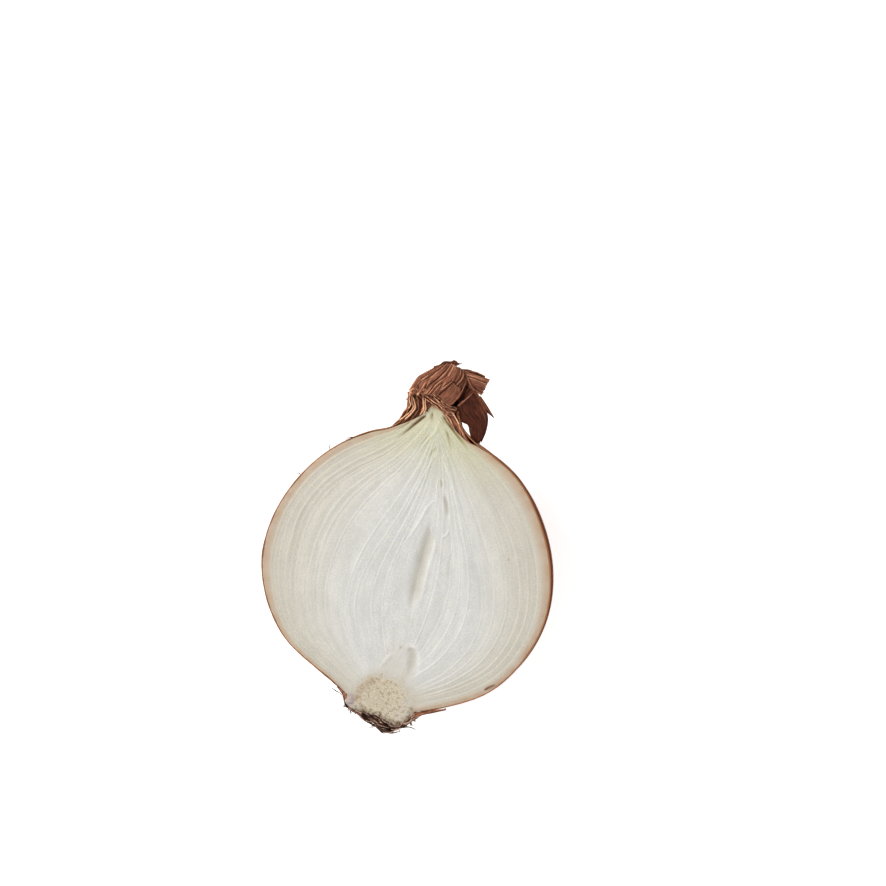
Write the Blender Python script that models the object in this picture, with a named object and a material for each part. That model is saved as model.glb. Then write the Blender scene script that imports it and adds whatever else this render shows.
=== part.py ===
"""Half an onion, cut lengthwise from root to neck and lying on its round back.

The cut face looks up (+Z), the roots point to -Y and the dried neck to +Y. The origin is the
middle of the small flat spot that the half rests on. Lengths in this file are in millimetres
until build_mesh turns them into metres.

Four pieces: the flesh (its scales grown together on the root plate), the dry brown skin round
it, the dried leaf ends gathered in the neck, and the corky crown with its roots.
"""

import math
import random

import bmesh
import bpy
import numpy as np
from mathutils import Vector

METRES = 0.001

# The whole bulb
CUT_HEIGHT = 39.4        # the cut face above the surface that the half rests on
SKIN_THICKNESS = 0.75    # several papery skins lying on each other
CLEARANCE = 0.35         # between pieces that touch
ROWS = 28                # stations from root to neck
ARC_STEPS = 22           # steps round the underside, from rim to rim

# Outline of the dry skin in the cut plane, from the root to the neck, as (x, y)
SKIN_LEFT = [
    (-10.5, -36.1), (-20.0, -29.4), (-30.4, -22.0), (-36.9, -12.8), (-40.1, -1.7), (-39.2, 9.6),
    (-35.0, 20.5), (-27.3, 30.6), (-17.5, 37.7), (-12.4, 39.8), (-9.8, 42.0), (-8.5, 44.6), (-8.3, 47.5),
]
SKIN_RIGHT = [
    (10.1, -36.7), (17.2, -32.9), (28.1, -26.8), (36.5, -16.2), (40.1, -4.4), (39.2, 8.6),
    (34.3, 20.8), (25.6, 31.7), (15.0, 38.3), (11.2, 40.2), (8.2, 42.4), (6.4, 44.6), (5.6, 47.3),
]

# Outline of the flesh, which leaves the skin at the shoulder and ends in a cone
FLESH_INSET = SKIN_THICKNESS + CLEARANCE
FLESH_LEFT_CONE = [(-16.5, 36.4), (-10.6, 38.6), (-6.6, 41.4), (-3.9, 44.6), (-2.4, 46.9)]
FLESH_RIGHT_CONE = [(14.0, 37.2), (9.0, 40.0), (5.0, 42.6), (1.9, 45.0), (0.0, 46.9)]
SHOULDER_POINTS = 8      # points of the skin's outline that the flesh follows
SKIN_TEAR = 0.02         # how far the skin's root end is torn back, as a share of its length

# The scales, as shares of the way from the bulb's axis (0) to its outline (1)
AXIS = [(3.6, -17.6), (2.8, -8.0), (2.7, 2.0), (3.4, 14.0), (4.0, 24.0), (2.6, 35.0), (-1.2, 47.1)]
SCALE_SEAMS = [0.12, 0.21, 0.30, 0.40, 0.51, 0.62, 0.74, 0.86]
SEAM_HALF_WIDTH = 0.011
SEAM_DEPTH = 0.45
SLIT_DEPTH = 2.0         # the gap between the innermost scales
LOWER_SLIT = (0.16, 0.52)
UPPER_SLIT = (0.46, 0.72)
SEAM_ENDS = (0.0, 0.96)  # the grooves fade out towards the plate and the tip
SLIT_FADE = 0.07
SEAM_FADE = 0.10

# The root plate, which the scales grow from
PLATE_LEFT_EDGE = (-9.5, -34.6)
PLATE_RIGHT_EDGE = (9.0, -35.0)
PLATE_LEFT_END = (-9.6, -36.6)
PLATE_RIGHT_END = (9.0, -36.9)
PLATE_SAG = 2.6          # how far the plate's underside bulges towards the roots
PLATE_ROWS = 3

# The corky crown under the plate, and its roots
CROWN_THICKNESS = 1.3
CROWN_WIDENING = 0.5     # how much wider the crown gets for each millimetre that it lies lower
CROWN_EXTRA_SAG = 0.4
CROWN_BUMP = 0.4
CROWN_ROWS = 6
CROWN_CENTRE = Vector((-0.3, -31.0, CUT_HEIGHT - 1.5))
ROOT_TOP = CUT_HEIGHT - 0.5
STUB_COUNT = 46
STUB_RADIUS = 0.55
STUB_LENGTHS = (1.3, 3.2)
STUB_SIDE_SHARE = 0.5     # length of a root at the crown's sides, next to one at its middle
STUB_LEAN = 0.8
STUB_SINK = 0.9
STUB_POINTS = 3
STUB_SIDES = 4
RUNNER_COUNT = 8
RUNNER_RADIUS = 0.42
RUNNER_POINTS = 7
RUNNER_SIDES = 4
RUNNER_LIFT = 0.35
RUNNER_WAVE = 0.45
RUNNER_END_LIFT = 1.2
ROOT_TAPER = 0.5

# The neck: half cones of paper that were cut through, and above them the gathered leaf ends
LEAF_THICKNESS = 0.65
LEAF_STEPS = 6
LEAF_ARC_STEPS = 14
OUTER_LEAF_LEFT = [(-9.3, 41.6), (-7.9, 43.1), (-7.2, 45.4), (-6.6, 49.4)]
OUTER_LEAF_RIGHT = [(7.5, 42.2), (6.0, 43.6), (5.0, 45.6), (4.4, 49.4)]
INNER_LEAF_LEFT = [(-7.0, 42.8), (-5.9, 44.6), (-5.3, 46.6), (-4.9, 49.4)]
INNER_LEAF_RIGHT = [(4.9, 44.0), (3.9, 45.4), (3.3, 47.0), (2.9, 49.4)]
BUNDLE_SECTIONS = [      # x, y, depth under the cut, half width, half height, and the way it faces
    (-1.4, 48.1, 3.7, 6.0, 3.0, 0.0, 1.0, 0.0),
    (-1.5, 49.8, 3.0, 6.5, 4.0, 0.0, 1.0, 0.1),
    (-1.3, 51.6, 2.2, 6.5, 4.6, 0.2, 1.0, 0.2),
    (-0.2, 54.4, 1.1, 6.3, 4.4, 0.5, 1.0, 0.1),
    (1.9, 56.8, 0.5, 5.2, 3.7, 0.8, 1.0, 0.0),
    (3.8, 58.2, 0.5, 3.6, 2.6, 1.0, 0.8, -0.1),
]
BUNDLE_RINGS = 10
BUNDLE_SIDES = 48
BUNDLE_LOBES = 12
BUNDLE_LOBE_DEPTH = 0.085
BUNDLE_FOLDS = 4
BUNDLE_FOLD_DEPTH = 0.06
BUNDLE_EDGE = 0.17       # how far the outermost leaf's free edge stands proud
BUNDLE_EDGE_ANGLE = 1.0
BUNDLE_TWIST = 1.1
BLADE_THICKNESS = 0.8
BLADE_STEPS = 9
BLADE_COLUMNS = 9
BLADE_TEAR = 0.10        # how far its end is torn back, as a share of its length
BLADE_STRIDE = 0.05      # share of its length over which its direction is read
BLADE_SKEW = 1.3         # how far its pleats wander sideways along it

COLOURS = {
    "flesh": ((0.84, 0.81, 0.70), 0.35),
    "dry_skin": ((0.42, 0.20, 0.13), 0.40),
    "neck_leaves": ((0.36, 0.18, 0.10), 0.65),
    "root_crown": ((0.20, 0.14, 0.09), 0.85),
}


def clear_scene():
    for obj in list(bpy.data.objects):
        bpy.data.objects.remove(obj, do_unlink=True)


def material(name):
    colour, roughness = COLOURS[name]
    made = bpy.data.materials.new(name)
    made.use_nodes = True
    shader = made.node_tree.nodes["Principled BSDF"]
    shader.inputs["Base Color"].default_value = (*colour, 1.0)
    shader.inputs["Roughness"].default_value = roughness
    return made


def link(name, mesh):
    obj = bpy.data.objects.new(name, mesh)
    bpy.context.scene.collection.objects.link(obj)
    return obj


def smooth_curve(points):
    """A function of 0 to 1 that runs evenly along a smooth curve through the points."""
    points = np.array(points, float)
    steps = np.linalg.norm(np.diff(points, axis=0), axis=1)
    knots = np.concatenate([[0.0], np.cumsum(steps)])
    tangents = np.gradient(points, knots, axis=0)

    def hermite(length):
        k = int(np.clip(np.searchsorted(knots, length) - 1, 0, len(steps) - 1))
        span = steps[k]
        u = (length - knots[k]) / span
        return (
            (2 * u**3 - 3 * u**2 + 1) * points[k]
            + (u**3 - 2 * u**2 + u) * span * tangents[k]
            + (3 * u**2 - 2 * u**3) * points[k + 1]
            + (u**3 - u**2) * span * tangents[k + 1]
        )

    return lambda share: hermite(float(share) * knots[-1])


def inset(points, distance):
    """The points of an open outline moved inwards, towards the bulb's axis."""
    points = np.array(points, float)
    along = np.gradient(points, axis=0)
    across = np.stack([along[:, 1], -along[:, 0]], axis=1)
    across /= np.linalg.norm(across, axis=1)[:, None]
    inwards = np.sign(-points[:, 0:1]) * np.sign(across[:, 0:1])
    return points + across * inwards * distance


def flesh_outlines():
    left = [PLATE_LEFT_EDGE, *inset(SKIN_LEFT, FLESH_INSET)[1:SHOULDER_POINTS], *FLESH_LEFT_CONE]
    right = [PLATE_RIGHT_EDGE, *inset(SKIN_RIGHT, FLESH_INSET)[1:SHOULDER_POINTS], *FLESH_RIGHT_CONE]
    return smooth_curve(left), smooth_curve(right)


def underside_point(left, right, turn, floor):
    """A point of the half round under the cut plane: turn 0 is the left rim and 1 the right one."""
    middle = (np.array(left) + np.array(right)) / 2
    reach = (np.array(left) - np.array(right)) / 2
    x, y = middle + reach * math.cos(math.pi * turn)
    drop = np.linalg.norm(reach) * math.sin(math.pi * turn)
    return (x, y, max(CUT_HEIGHT - drop, floor))


def underside(left, right, floor, steps=ARC_STEPS):
    """A row of such points from rim to rim."""
    return [underside_point(left, right, k / steps, floor) for k in range(steps + 1)]


def build_mesh(name, points, faces, merge=0.0):
    """A mesh object from millimetres, with doubled points merged and faces turned outwards."""
    bm = bmesh.new()
    corners = [bm.verts.new(Vector(p) * METRES) for p in points]
    for face in faces:
        if len(set(face)) == len(face):
            bm.faces.new([corners[i] for i in face])
    if merge:
        bmesh.ops.remove_doubles(bm, verts=bm.verts, dist=merge * METRES)
        bmesh.ops.dissolve_degenerate(bm, edges=bm.edges, dist=merge * METRES)
    bmesh.ops.recalc_face_normals(bm, faces=bm.faces)
    if bm.calc_volume(signed=True) < 0:
        bmesh.ops.reverse_faces(bm, faces=bm.faces)
    mesh = bpy.data.meshes.new(name)
    bm.to_mesh(mesh)
    bm.free()
    return link(name, mesh)


def grid_faces(rows, columns, first=0, flip=False):
    """Quads between the points of a grid that is stored row by row from index first."""
    faces = []
    for i in range(rows - 1):
        for j in range(columns - 1):
            a = first + i * columns + j
            quad = (a, a + 1, a + columns + 1, a + columns)
            faces.append(quad[::-1] if flip else quad)
    return faces


def thick_sheet(name, outer, inner, merge=0.0):
    """A closed solid between two grids of points of the same size."""
    rows, columns = len(outer), len(outer[0])
    points = [p for row in outer for p in row] + [p for row in inner for p in row]
    back = rows * columns
    faces = grid_faces(rows, columns) + grid_faces(rows, columns, back, flip=True)
    for i in range(rows - 1):
        for j in (0, columns - 1):
            a = i * columns + j
            faces.append((a, a + columns, back + a + columns, back + a))
    for j in range(columns - 1):
        for i in (0, rows - 1):
            a = i * columns + j
            faces.append((a, a + 1, back + a + 1, back + a))
    return build_mesh(name, points, faces, merge)


def dress(obj, smooth_angle=40.0):
    obj.data.materials.clear()
    obj.data.materials.append(material(obj.name))
    obj.data.shade_smooth()
    obj.data.set_sharp_from_angle(angle=math.radians(smooth_angle))


# The flesh


def seam_columns():
    """Stations across the cut face, from -1 (left outline) over 0 (axis) to 1 (right outline)."""
    half = [0.0, 0.03]
    for seam in SCALE_SEAMS:
        half += [seam - SEAM_HALF_WIDTH, seam, seam + SEAM_HALF_WIDTH]
    half.append(1.0)
    return [-w for w in reversed(half[1:])] + half


def ease(value, low, high, soft):
    """1 between low and high, falling softly to 0 outside."""
    rise = min(max((value - low) / soft, 0.0), 1.0)
    fall = min(max((high - value) / soft, 0.0), 1.0)
    return rise * rise * (3 - 2 * rise) * fall * fall * (3 - 2 * fall)


def face_depth(station, share):
    """How deep the cut face is sunk at a station across it and a share of the way to the neck."""
    across = abs(station)
    if across == 0.0:
        return SLIT_DEPTH * ease(share, *LOWER_SLIT, SLIT_FADE)
    if across not in SCALE_SEAMS:
        return 0.0
    depth = SEAM_DEPTH * ease(share, *SEAM_ENDS, SEAM_FADE)
    if station == SCALE_SEAMS[0]:
        depth += SLIT_DEPTH * ease(share, *UPPER_SLIT, SLIT_FADE)
    return depth


def make_flesh():
    left, right = flesh_outlines()
    axis = smooth_curve(AXIS)
    stations = seam_columns()
    rows = []
    rims = []
    for i in range(PLATE_ROWS, 0, -1):
        rows.append(plate_row(i / PLATE_ROWS, left(0), right(0), stations))
        rims.append((rows[-1][0][:2], rows[-1][-1][:2]))
    for i in range(ROWS + 1):
        share = i / ROWS
        rows.append([face_point(s, share, left, right, axis) for s in stations])
        rims.append((left(share), right(share)))
    columns = len(stations)
    points = [p for row in rows for p in row]
    faces = grid_faces(len(rows), columns)
    under = [underside(a, b, FLESH_INSET) for a, b in rims]
    first = len(points)
    points += [p for row in under for p in row]
    faces += grid_faces(len(under), ARC_STEPS + 1, first, flip=True)
    for i in (0, len(rows) - 1):
        top = [i * columns + j for j in range(columns)]
        bottom = [first + i * (ARC_STEPS + 1) + j for j in range(1, ARC_STEPS)]
        faces.append(top + bottom[::-1])
    obj = build_mesh("flesh", points, faces, merge=0.02)
    dress(obj)
    return obj


def face_point(station, share, left, right, axis):
    outline = right(share) if station > 0 else left(share)
    weight = abs(station)
    x, y = axis(share) * (1 - weight) + outline * weight
    return (x, y, CUT_HEIGHT - face_depth(station, share))


def plate_row(share, left, right, stations):
    """A row across the cut root plate: share 0 is its domed top and 1 its underside."""
    top_middle = np.array(AXIS[0], float)
    low_left, low_right = np.array(PLATE_LEFT_END), np.array(PLATE_RIGHT_END)
    row = []
    for s in stations:
        rim = right if s > 0 else left
        top = top_middle * (1 - abs(s)) + rim * abs(s)
        low = low_left * (1 - s) / 2 + low_right * (1 + s) / 2
        low = low - np.array([0.0, PLATE_SAG * (1 - s * s)])
        x, y = top * (1 - share) + low * share
        row.append((x, y, CUT_HEIGHT))
    return row


# The dry skin


def skin_surface(left, right, floor):
    """Rows of the skin from its torn root end to the neck."""
    chance = random.Random(3)
    tears = [chance.uniform(0, SKIN_TEAR) for _ in range(ARC_STEPS + 1)]
    tears[0] = tears[-1] = 0.0
    rows = []
    for i in range(ROWS + 1):
        row = []
        for k, tear in enumerate(tears):
            share = tear + (1 - tear) * i / ROWS
            row.append(underside_point(left(share), right(share), k / ARC_STEPS, floor))
        rows.append(row)
    return rows


def make_dry_skin():
    inner_left = smooth_curve(inset(SKIN_LEFT, SKIN_THICKNESS))
    inner_right = smooth_curve(inset(SKIN_RIGHT, SKIN_THICKNESS))
    outer = skin_surface(smooth_curve(SKIN_LEFT), smooth_curve(SKIN_RIGHT), 0.0)
    inner = skin_surface(inner_left, inner_right, SKIN_THICKNESS)
    obj = thick_sheet("dry_skin", outer, inner)
    dress(obj)
    return obj


# The crown and roots


def crown_cap(lift, bump=0.0):
    """The domed underside of the root plate, lifted off it: rows run from its rim to the cut."""
    chance = random.Random(5)
    low_left, low_right = np.array(PLATE_LEFT_END), np.array(PLATE_RIGHT_END)
    middle = (low_left + low_right) / 2
    reach = (low_left - low_right) / 2
    radius = np.linalg.norm(reach) + lift * CROWN_WIDENING
    across_way = reach / np.linalg.norm(reach)
    rows = []
    for i in range(CROWN_ROWS + 1):
        tilt = math.pi / 2 * i / CROWN_ROWS
        row = []
        for k in range(ARC_STEPS + 1):
            angle = math.pi * k / ARC_STEPS
            across = math.cos(angle)
            drop = math.sin(angle) * math.cos(tilt)
            bulge = (PLATE_SAG + CROWN_EXTRA_SAG) * (1 - across**2 - drop**2)
            x, y = middle + across_way * across * radius
            inside = 0 < k < ARC_STEPS and i < CROWN_ROWS
            wobble = bump * chance.uniform(-1, 1) if inside else 0.0
            row.append((x, y - bulge - lift + wobble, CUT_HEIGHT - drop * radius))
        rows.append(row)
    return rows


def make_crown():
    inner = crown_cap(CLEARANCE)
    outer = crown_cap(CLEARANCE + CROWN_THICKNESS, CROWN_BUMP)
    crown = thick_sheet("root_crown", outer, inner, merge=0.02)
    fuse(crown, make_stubs(outer) + make_runners(outer))
    dress(crown, 60.0)
    return crown


def crown_point(surface, row, column, lift):
    """A point over the crown, between the points of its grid."""
    row = min(max(row, 0.0), CROWN_ROWS - 1e-6)
    column = min(max(column, 0.0), ARC_STEPS - 1e-6)
    i, k = int(row), int(column)
    near = Vector(surface[i][k]).lerp(Vector(surface[i][k + 1]), column - k)
    far = Vector(surface[i + 1][k]).lerp(Vector(surface[i + 1][k + 1]), column - k)
    point = near.lerp(far, row - i)
    point += (point - CROWN_CENTRE).normalized() * lift
    return Vector((point.x, point.y, min(point.z, ROOT_TOP)))


def make_stubs(surface):
    """Short dried roots that stand out of the crown."""
    chance = random.Random(11)
    stubs = []
    for k in range(STUB_COUNT):
        row, column = chance.uniform(0.6, CROWN_ROWS - 0.4), chance.uniform(1.5, ARC_STEPS - 1.5)
        start = crown_point(surface, row, column, -STUB_SINK)
        out = (start - CROWN_CENTRE).normalized()
        lean = Vector((chance.uniform(-1, 1), chance.uniform(-0.3, 0.3), chance.uniform(-1, 0.4)))
        length = chance.uniform(*STUB_LENGTHS) * (STUB_SIDE_SHARE - (1 - STUB_SIDE_SHARE) * min(out.y, 0))
        path = []
        for j in range(STUB_POINTS):
            along = j / (STUB_POINTS - 1)
            point = start + out * STUB_SINK * along + (out + lean * STUB_LEAN * along) * length * along
            path.append(Vector((point.x, point.y, min(point.z, ROOT_TOP))))
        stubs.append(tapered_rod(f"stub_{k}", path, STUB_RADIUS, STUB_SIDES))
    return stubs


def make_runners(surface):
    """Longer roots that lie across the crown, waving over it, with a free end."""
    chance = random.Random(29)
    runners = []
    for k in range(RUNNER_COUNT):
        row, column = chance.uniform(1, CROWN_ROWS - 1), chance.uniform(3, ARC_STEPS - 3)
        row_run = chance.uniform(-3, 3)
        column_run = chance.choice([-1, 1]) * chance.uniform(5, 10)
        phase = chance.uniform(0, math.tau)
        path = []
        for j in range(RUNNER_POINTS):
            along = j / (RUNNER_POINTS - 1)
            lift = RUNNER_LIFT + RUNNER_WAVE * math.sin(phase + math.tau * along)
            lift += RUNNER_END_LIFT * along**4
            path.append(crown_point(surface, row + row_run * along, column + column_run * along, lift))
        runners.append(tapered_rod(f"runner_{k}", path, RUNNER_RADIUS, RUNNER_SIDES))
    return runners


def tapered_rod(name, path, radius, sides):
    """A closed rod along a path, thinner towards its end."""
    points = []
    for j, centre in enumerate(path):
        ahead = path[min(j + 1, len(path) - 1)] - path[max(j - 1, 0)]
        turn = ahead.to_track_quat("Z", "Y").to_matrix()
        size = radius * (1 - ROOT_TAPER * j / (len(path) - 1))
        for k in range(sides):
            angle = math.tau * k / sides
            points.append(centre + turn @ Vector((math.cos(angle), math.sin(angle), 0)) * size)
    return build_mesh(name, points, tube_faces(len(path), sides))


def tube_faces(rings, sides):
    """Faces of a closed tube whose points are stored ring by ring, with both ends capped."""
    faces = []
    for j in range(rings - 1):
        for k in range(sides):
            a, b = j * sides + k, j * sides + (k + 1) % sides
            faces.append((a, b, b + sides, a + sides))
    faces.append(tuple(range(sides))[::-1])
    faces.append(tuple(range((rings - 1) * sides, rings * sides)))
    return faces


def fuse(obj, pieces):
    """Fuses the pieces into obj with one Boolean union over a collection, and removes them."""
    collection = bpy.data.collections.new(obj.name + "_pieces")
    bpy.context.scene.collection.children.link(collection)
    for piece in pieces:
        collection.objects.link(piece)
        bpy.context.scene.collection.objects.unlink(piece)
    union = obj.modifiers.new("union", "BOOLEAN")
    union.operation = "UNION"
    union.operand_type = "COLLECTION"
    union.collection = collection
    union.solver = "MANIFOLD"
    graph = bpy.context.evaluated_depsgraph_get()
    joined = bpy.data.meshes.new_from_object(obj.evaluated_get(graph))
    obj.modifiers.remove(union)
    obj.data = joined
    keep_largest_island(joined)
    for piece in list(collection.objects):
        bpy.data.objects.remove(piece, do_unlink=True)
    bpy.data.collections.remove(collection)


def keep_largest_island(mesh):
    """Drops loose scraps, and fills hollows that the union has sealed."""
    bm = bmesh.new()
    bm.from_mesh(mesh)
    bmesh.ops.triangulate(bm, faces=bm.faces)
    unseen = set(bm.faces)
    islands = []
    while unseen:
        island = []
        waiting = [unseen.pop()]
        while waiting:
            face = waiting.pop()
            island.append(face)
            for edge in face.edges:
                for other in edge.link_faces:
                    if other in unseen:
                        unseen.remove(other)
                        waiting.append(other)
        islands.append(island)
    islands.sort(key=len)
    scraps = [face for island in islands[:-1] for face in island]
    bmesh.ops.delete(bm, geom=scraps, context="FACES")
    bm.to_mesh(mesh)
    bm.free()


# The neck


def bundle_ring(section, along):
    """A pleated ring of the bundle, square to the way it faces, with the outer leaf's free edge."""
    x, y, depth, across, height, *facing = section
    turn = Vector(facing).to_track_quat("Y", "Z").to_matrix()
    centre = Vector((x, y, CUT_HEIGHT - depth))
    ring = []
    for k in range(BUNDLE_SIDES):
        angle = math.tau * k / BUNDLE_SIDES
        round_it = (angle - BUNDLE_EDGE_ANGLE - BUNDLE_TWIST * along) % math.tau
        size = 1 - BUNDLE_EDGE + BUNDLE_EDGE * round_it / math.tau
        size += BUNDLE_LOBE_DEPTH * math.sin(BUNDLE_LOBES * angle + BUNDLE_TWIST * along)
        size += BUNDLE_FOLD_DEPTH * math.sin(BUNDLE_FOLDS * angle - BUNDLE_TWIST * along)
        ring.append(centre + turn @ Vector((across * math.cos(angle), 0, height * math.sin(angle))) * size)
    return ring


def make_bundle():
    """The dried leaf ends, gathered and twisted over to one side."""
    run = smooth_curve(BUNDLE_SECTIONS)
    points = []
    for k in range(BUNDLE_RINGS):
        along = k / (BUNDLE_RINGS - 1)
        points += bundle_ring(run(along), along)
    return build_mesh("neck_leaves", points, tube_faces(BUNDLE_RINGS, BUNDLE_SIDES))


def blade(name, spine, widths, side, pleats, pleat_depth):
    """A thin pleated leaf end along a spine of x, y and height over the cut, torn at its end."""
    chance = random.Random(name)
    run = smooth_curve(spine)
    tears = [chance.uniform(0, BLADE_TEAR) for _ in range(BLADE_COLUMNS)]
    front, back = [], []
    for i in range(BLADE_STEPS + 1):
        front_row, back_row = [], []
        for j, tear in enumerate(tears):
            share = i / BLADE_STEPS * (1 - tear)
            centre = Vector(run(share))
            ahead = Vector(run(min(share + BLADE_STRIDE, 1.0))) - Vector(run(max(share - BLADE_STRIDE, 0.0)))
            normal = Vector(side).cross(ahead).normalized()
            cross = ahead.cross(normal).normalized()
            width = np.interp(share, np.linspace(0, 1, len(widths)), widths)
            u = j / (BLADE_COLUMNS - 1) - 0.5
            fold = pleat_depth * math.sin(math.tau * pleats * u + BLADE_SKEW * share)
            here = centre + cross * (u * width) + normal * fold + Vector((0, 0, CUT_HEIGHT))
            front_row.append(here + normal * BLADE_THICKNESS / 2)
            back_row.append(here - normal * BLADE_THICKNESS / 2)
        front.append(front_row)
        back.append(back_row)
    return thick_sheet(name, front, back)


def cone_sheet(name, left, right):
    """A dry inner leaf in the neck, cut open like the bulb: half a cone of paper."""
    outer_runs = smooth_curve(left), smooth_curve(right)
    inner_runs = smooth_curve(inset(left, LEAF_THICKNESS)), smooth_curve(inset(right, LEAF_THICKNESS))
    sheets = []
    for left_run, right_run in (outer_runs, inner_runs):
        shares = [i / LEAF_STEPS for i in range(LEAF_STEPS + 1)]
        sheets.append([underside(left_run(t), right_run(t), 0.0, LEAF_ARC_STEPS) for t in shares])
    return thick_sheet(name, *sheets)


def make_neck():
    bundle = make_bundle()
    right_end = [(1.5, 56.2, -0.6), (5.4, 56.6, 0.2), (9.0, 56.0, -0.6), (12.6, 55.2, -1.8)]
    hanging_flap = [
        (3.2, 54.4, -1.2), (7.8, 52.2, -0.4), (11.4, 48.4, -1.2), (12.6, 44.4, -2.4), (13.4, 40.6, -3.4),
    ]
    top_tip = [(-1.0, 56.0, 0.6), (1.6, 59.0, 1.6), (4.6, 60.9, 1.8)]
    fold_over = [(-3.4, 50.2, 1.0), (0.6, 50.6, 2.2), (3.6, 53.0, 2.2), (4.6, 56.4, 1.4)]
    fuse(bundle, [
        cone_sheet("outer_leaf", OUTER_LEAF_LEFT, OUTER_LEAF_RIGHT),
        cone_sheet("inner_leaf", INNER_LEAF_LEFT, INNER_LEAF_RIGHT),
        blade("right_end", right_end, [4.5, 5.4, 5.6, 5.0], (0.1, 1.0, 0.2), 2.0, 0.45),
        blade("hanging_flap", hanging_flap, [4.4, 6.0, 5.6, 3.8, 1.4], (1.0, 0.5, 0.0), 1.5, 0.4),
        blade("top_tip", top_tip, [5.4, 4.2, 1.6], (0.7, -0.7, 0.1), 1.5, 0.3),
        blade("fold_over", fold_over, [3.0, 4.6, 4.4, 2.6], (1.0, -0.6, 0.1), 1.0, 0.25),
    ])
    dress(bundle, 50.0)
    return bundle


def main():
    clear_scene()
    make_flesh()
    make_dry_skin()
    make_crown()
    make_neck()


main()
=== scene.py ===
"""The looks of half an onion: moist cut scales, papery skin, dried neck leaves and matted roots.

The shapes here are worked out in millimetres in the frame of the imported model, where the cut face
looks up, the roots point to -Y and the neck to +Y. mesh_piece turns them into metres. A share runs
from 0 at the roots to 1 at the neck, and a turn from 0 at the left rim to 1 at the right rim.
"""

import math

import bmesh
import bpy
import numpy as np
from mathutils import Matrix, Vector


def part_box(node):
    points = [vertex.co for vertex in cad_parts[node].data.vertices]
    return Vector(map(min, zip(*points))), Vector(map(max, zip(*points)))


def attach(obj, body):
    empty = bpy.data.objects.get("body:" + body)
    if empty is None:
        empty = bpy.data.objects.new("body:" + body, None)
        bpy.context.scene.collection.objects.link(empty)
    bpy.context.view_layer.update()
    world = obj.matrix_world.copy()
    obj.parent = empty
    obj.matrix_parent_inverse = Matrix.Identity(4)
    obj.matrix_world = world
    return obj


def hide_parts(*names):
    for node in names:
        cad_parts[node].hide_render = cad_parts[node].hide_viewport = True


bl_info = {
    "name": "Halved Onion",
    "version": (1, 0, 0),
    "blender": (4, 5, 0),
    "location": "3D View > Sidebar > Onion",
    "description": "Dresses half an onion with moist scales, papery skin, dried neck leaves and roots",
    "category": "Add Mesh",
}

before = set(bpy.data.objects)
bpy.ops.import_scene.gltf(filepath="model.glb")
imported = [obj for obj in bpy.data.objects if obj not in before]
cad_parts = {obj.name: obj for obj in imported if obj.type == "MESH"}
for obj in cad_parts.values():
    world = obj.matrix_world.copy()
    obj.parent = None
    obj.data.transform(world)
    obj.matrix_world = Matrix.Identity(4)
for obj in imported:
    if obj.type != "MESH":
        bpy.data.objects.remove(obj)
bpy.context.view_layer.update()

BODY = "root"
MM = 0.001
WELD = 0.004               # points closer than this are one
FIBRE_WELD = 0.001
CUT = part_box("flesh")[1].z / MM   # height of the cut face

# Outline of the dry skin in the cut plane, from the root to the neck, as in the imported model
SKIN_LEFT = [
    (-10.0, -34.8), (-15.0, -32.0), (-20.0, -29.3), (-30.3, -22.4), (-36.7, -13.2), (-40.0, -2.1),
    (-39.0, 9.2), (-34.6, 20.2), (-26.7, 30.5), (-16.8, 37.6), (-11.6, 39.7), (-9.0, 41.9), (-7.7, 44.5),
    (-7.6, 48.5),
]
SKIN_RIGHT = [
    (9.3, -36.0), (13.2, -34.6), (17.3, -32.8), (28.2, -26.4), (36.6, -15.7), (40.2, -3.8), (39.3, 9.1),
    (34.5, 21.2), (26.0, 31.9), (15.6, 38.4), (11.8, 40.2), (8.9, 42.4), (7.2, 44.6), (6.0, 47.8),
]
NECK_POINTS = 5            # how many of these points lie past the shoulder

# The flesh: guide lines along its scales, each with the share of the way out from the middle
FLESH_INSET = 0.32
BRIM_TUCK = 0.5            # how far the brim on the right is drawn in over the swell of the skin
TUCK_REACH = 25.0          # how far along the bulb to both sides the brim is drawn in
MIDDLE_LINE = [
    (3.8, -17.6), (3.2, -9.7), (3.1, 1.7), (3.7, 8.6), (4.3, 15.2), (4.5, 22.1), (4.1, 30.1), (3.0, 36.7),
]
LEFT_INNER_LINE = [
    (-5.6, -26.3), (-9.9, -18.0), (-12.2, -10.5), (-12.1, -4.1), (-10.0, 4.0), (-6.9, 11.1),
    (-3.1, 19.9), (0.2, 29.6), (2.2, 38.4),
]
LEFT_OUTER_LINE = [
    (-8.8, -31.5), (-17.8, -26.4), (-26.3, -19.8), (-30.1, -11.1), (-31.3, -3.3), (-31.2, 4.0),
    (-29.6, 12.8), (-25.6, 20.3), (-19.3, 26.4), (-11.2, 32.2), (-5.5, 38.2), (-0.8, 44.9),
]
RIGHT_INNER_LINE = [
    (7.6, -29.6), (15.8, -23.0), (20.8, -15.1), (22.4, -6.5), (21.6, -0.6), (19.4, 6.3), (15.8, 14.0),
    (11.8, 22.2), (8.0, 29.9), (2.4, 38.6),
]
RIGHT_OUTER_LINE = [
    (8.1, -33.0), (19.8, -27.0), (28.5, -19.8), (32.9, -11.5), (34.4, -2.8), (33.2, 5.3),
    (30.3, 13.7), (25.0, 21.9), (18.3, 29.0), (12.6, 33.8), (6.5, 39.4), (-0.2, 45.1),
]
LEFT_GUIDES = (0.0, 0.365, 0.80, 1.0)
RIGHT_GUIDES = (0.0, 0.46, 0.855, 1.0)
FLESH_LEFT_CONE = [
    (-16.2, 37.3), (-11.8, 39.1), (-8.9, 40.8), (-6.3, 42.4), (-3.9, 44.3), (-2.3, 45.9), (-1.3, 47.6),
]
FLESH_RIGHT_CONE = [
    (15.2, 38.1), (12.8, 39.0), (10.4, 39.6), (8.0, 40.9), (4.7, 43.6), (1.7, 46.6), (0.1, 47.8),
]
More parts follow.
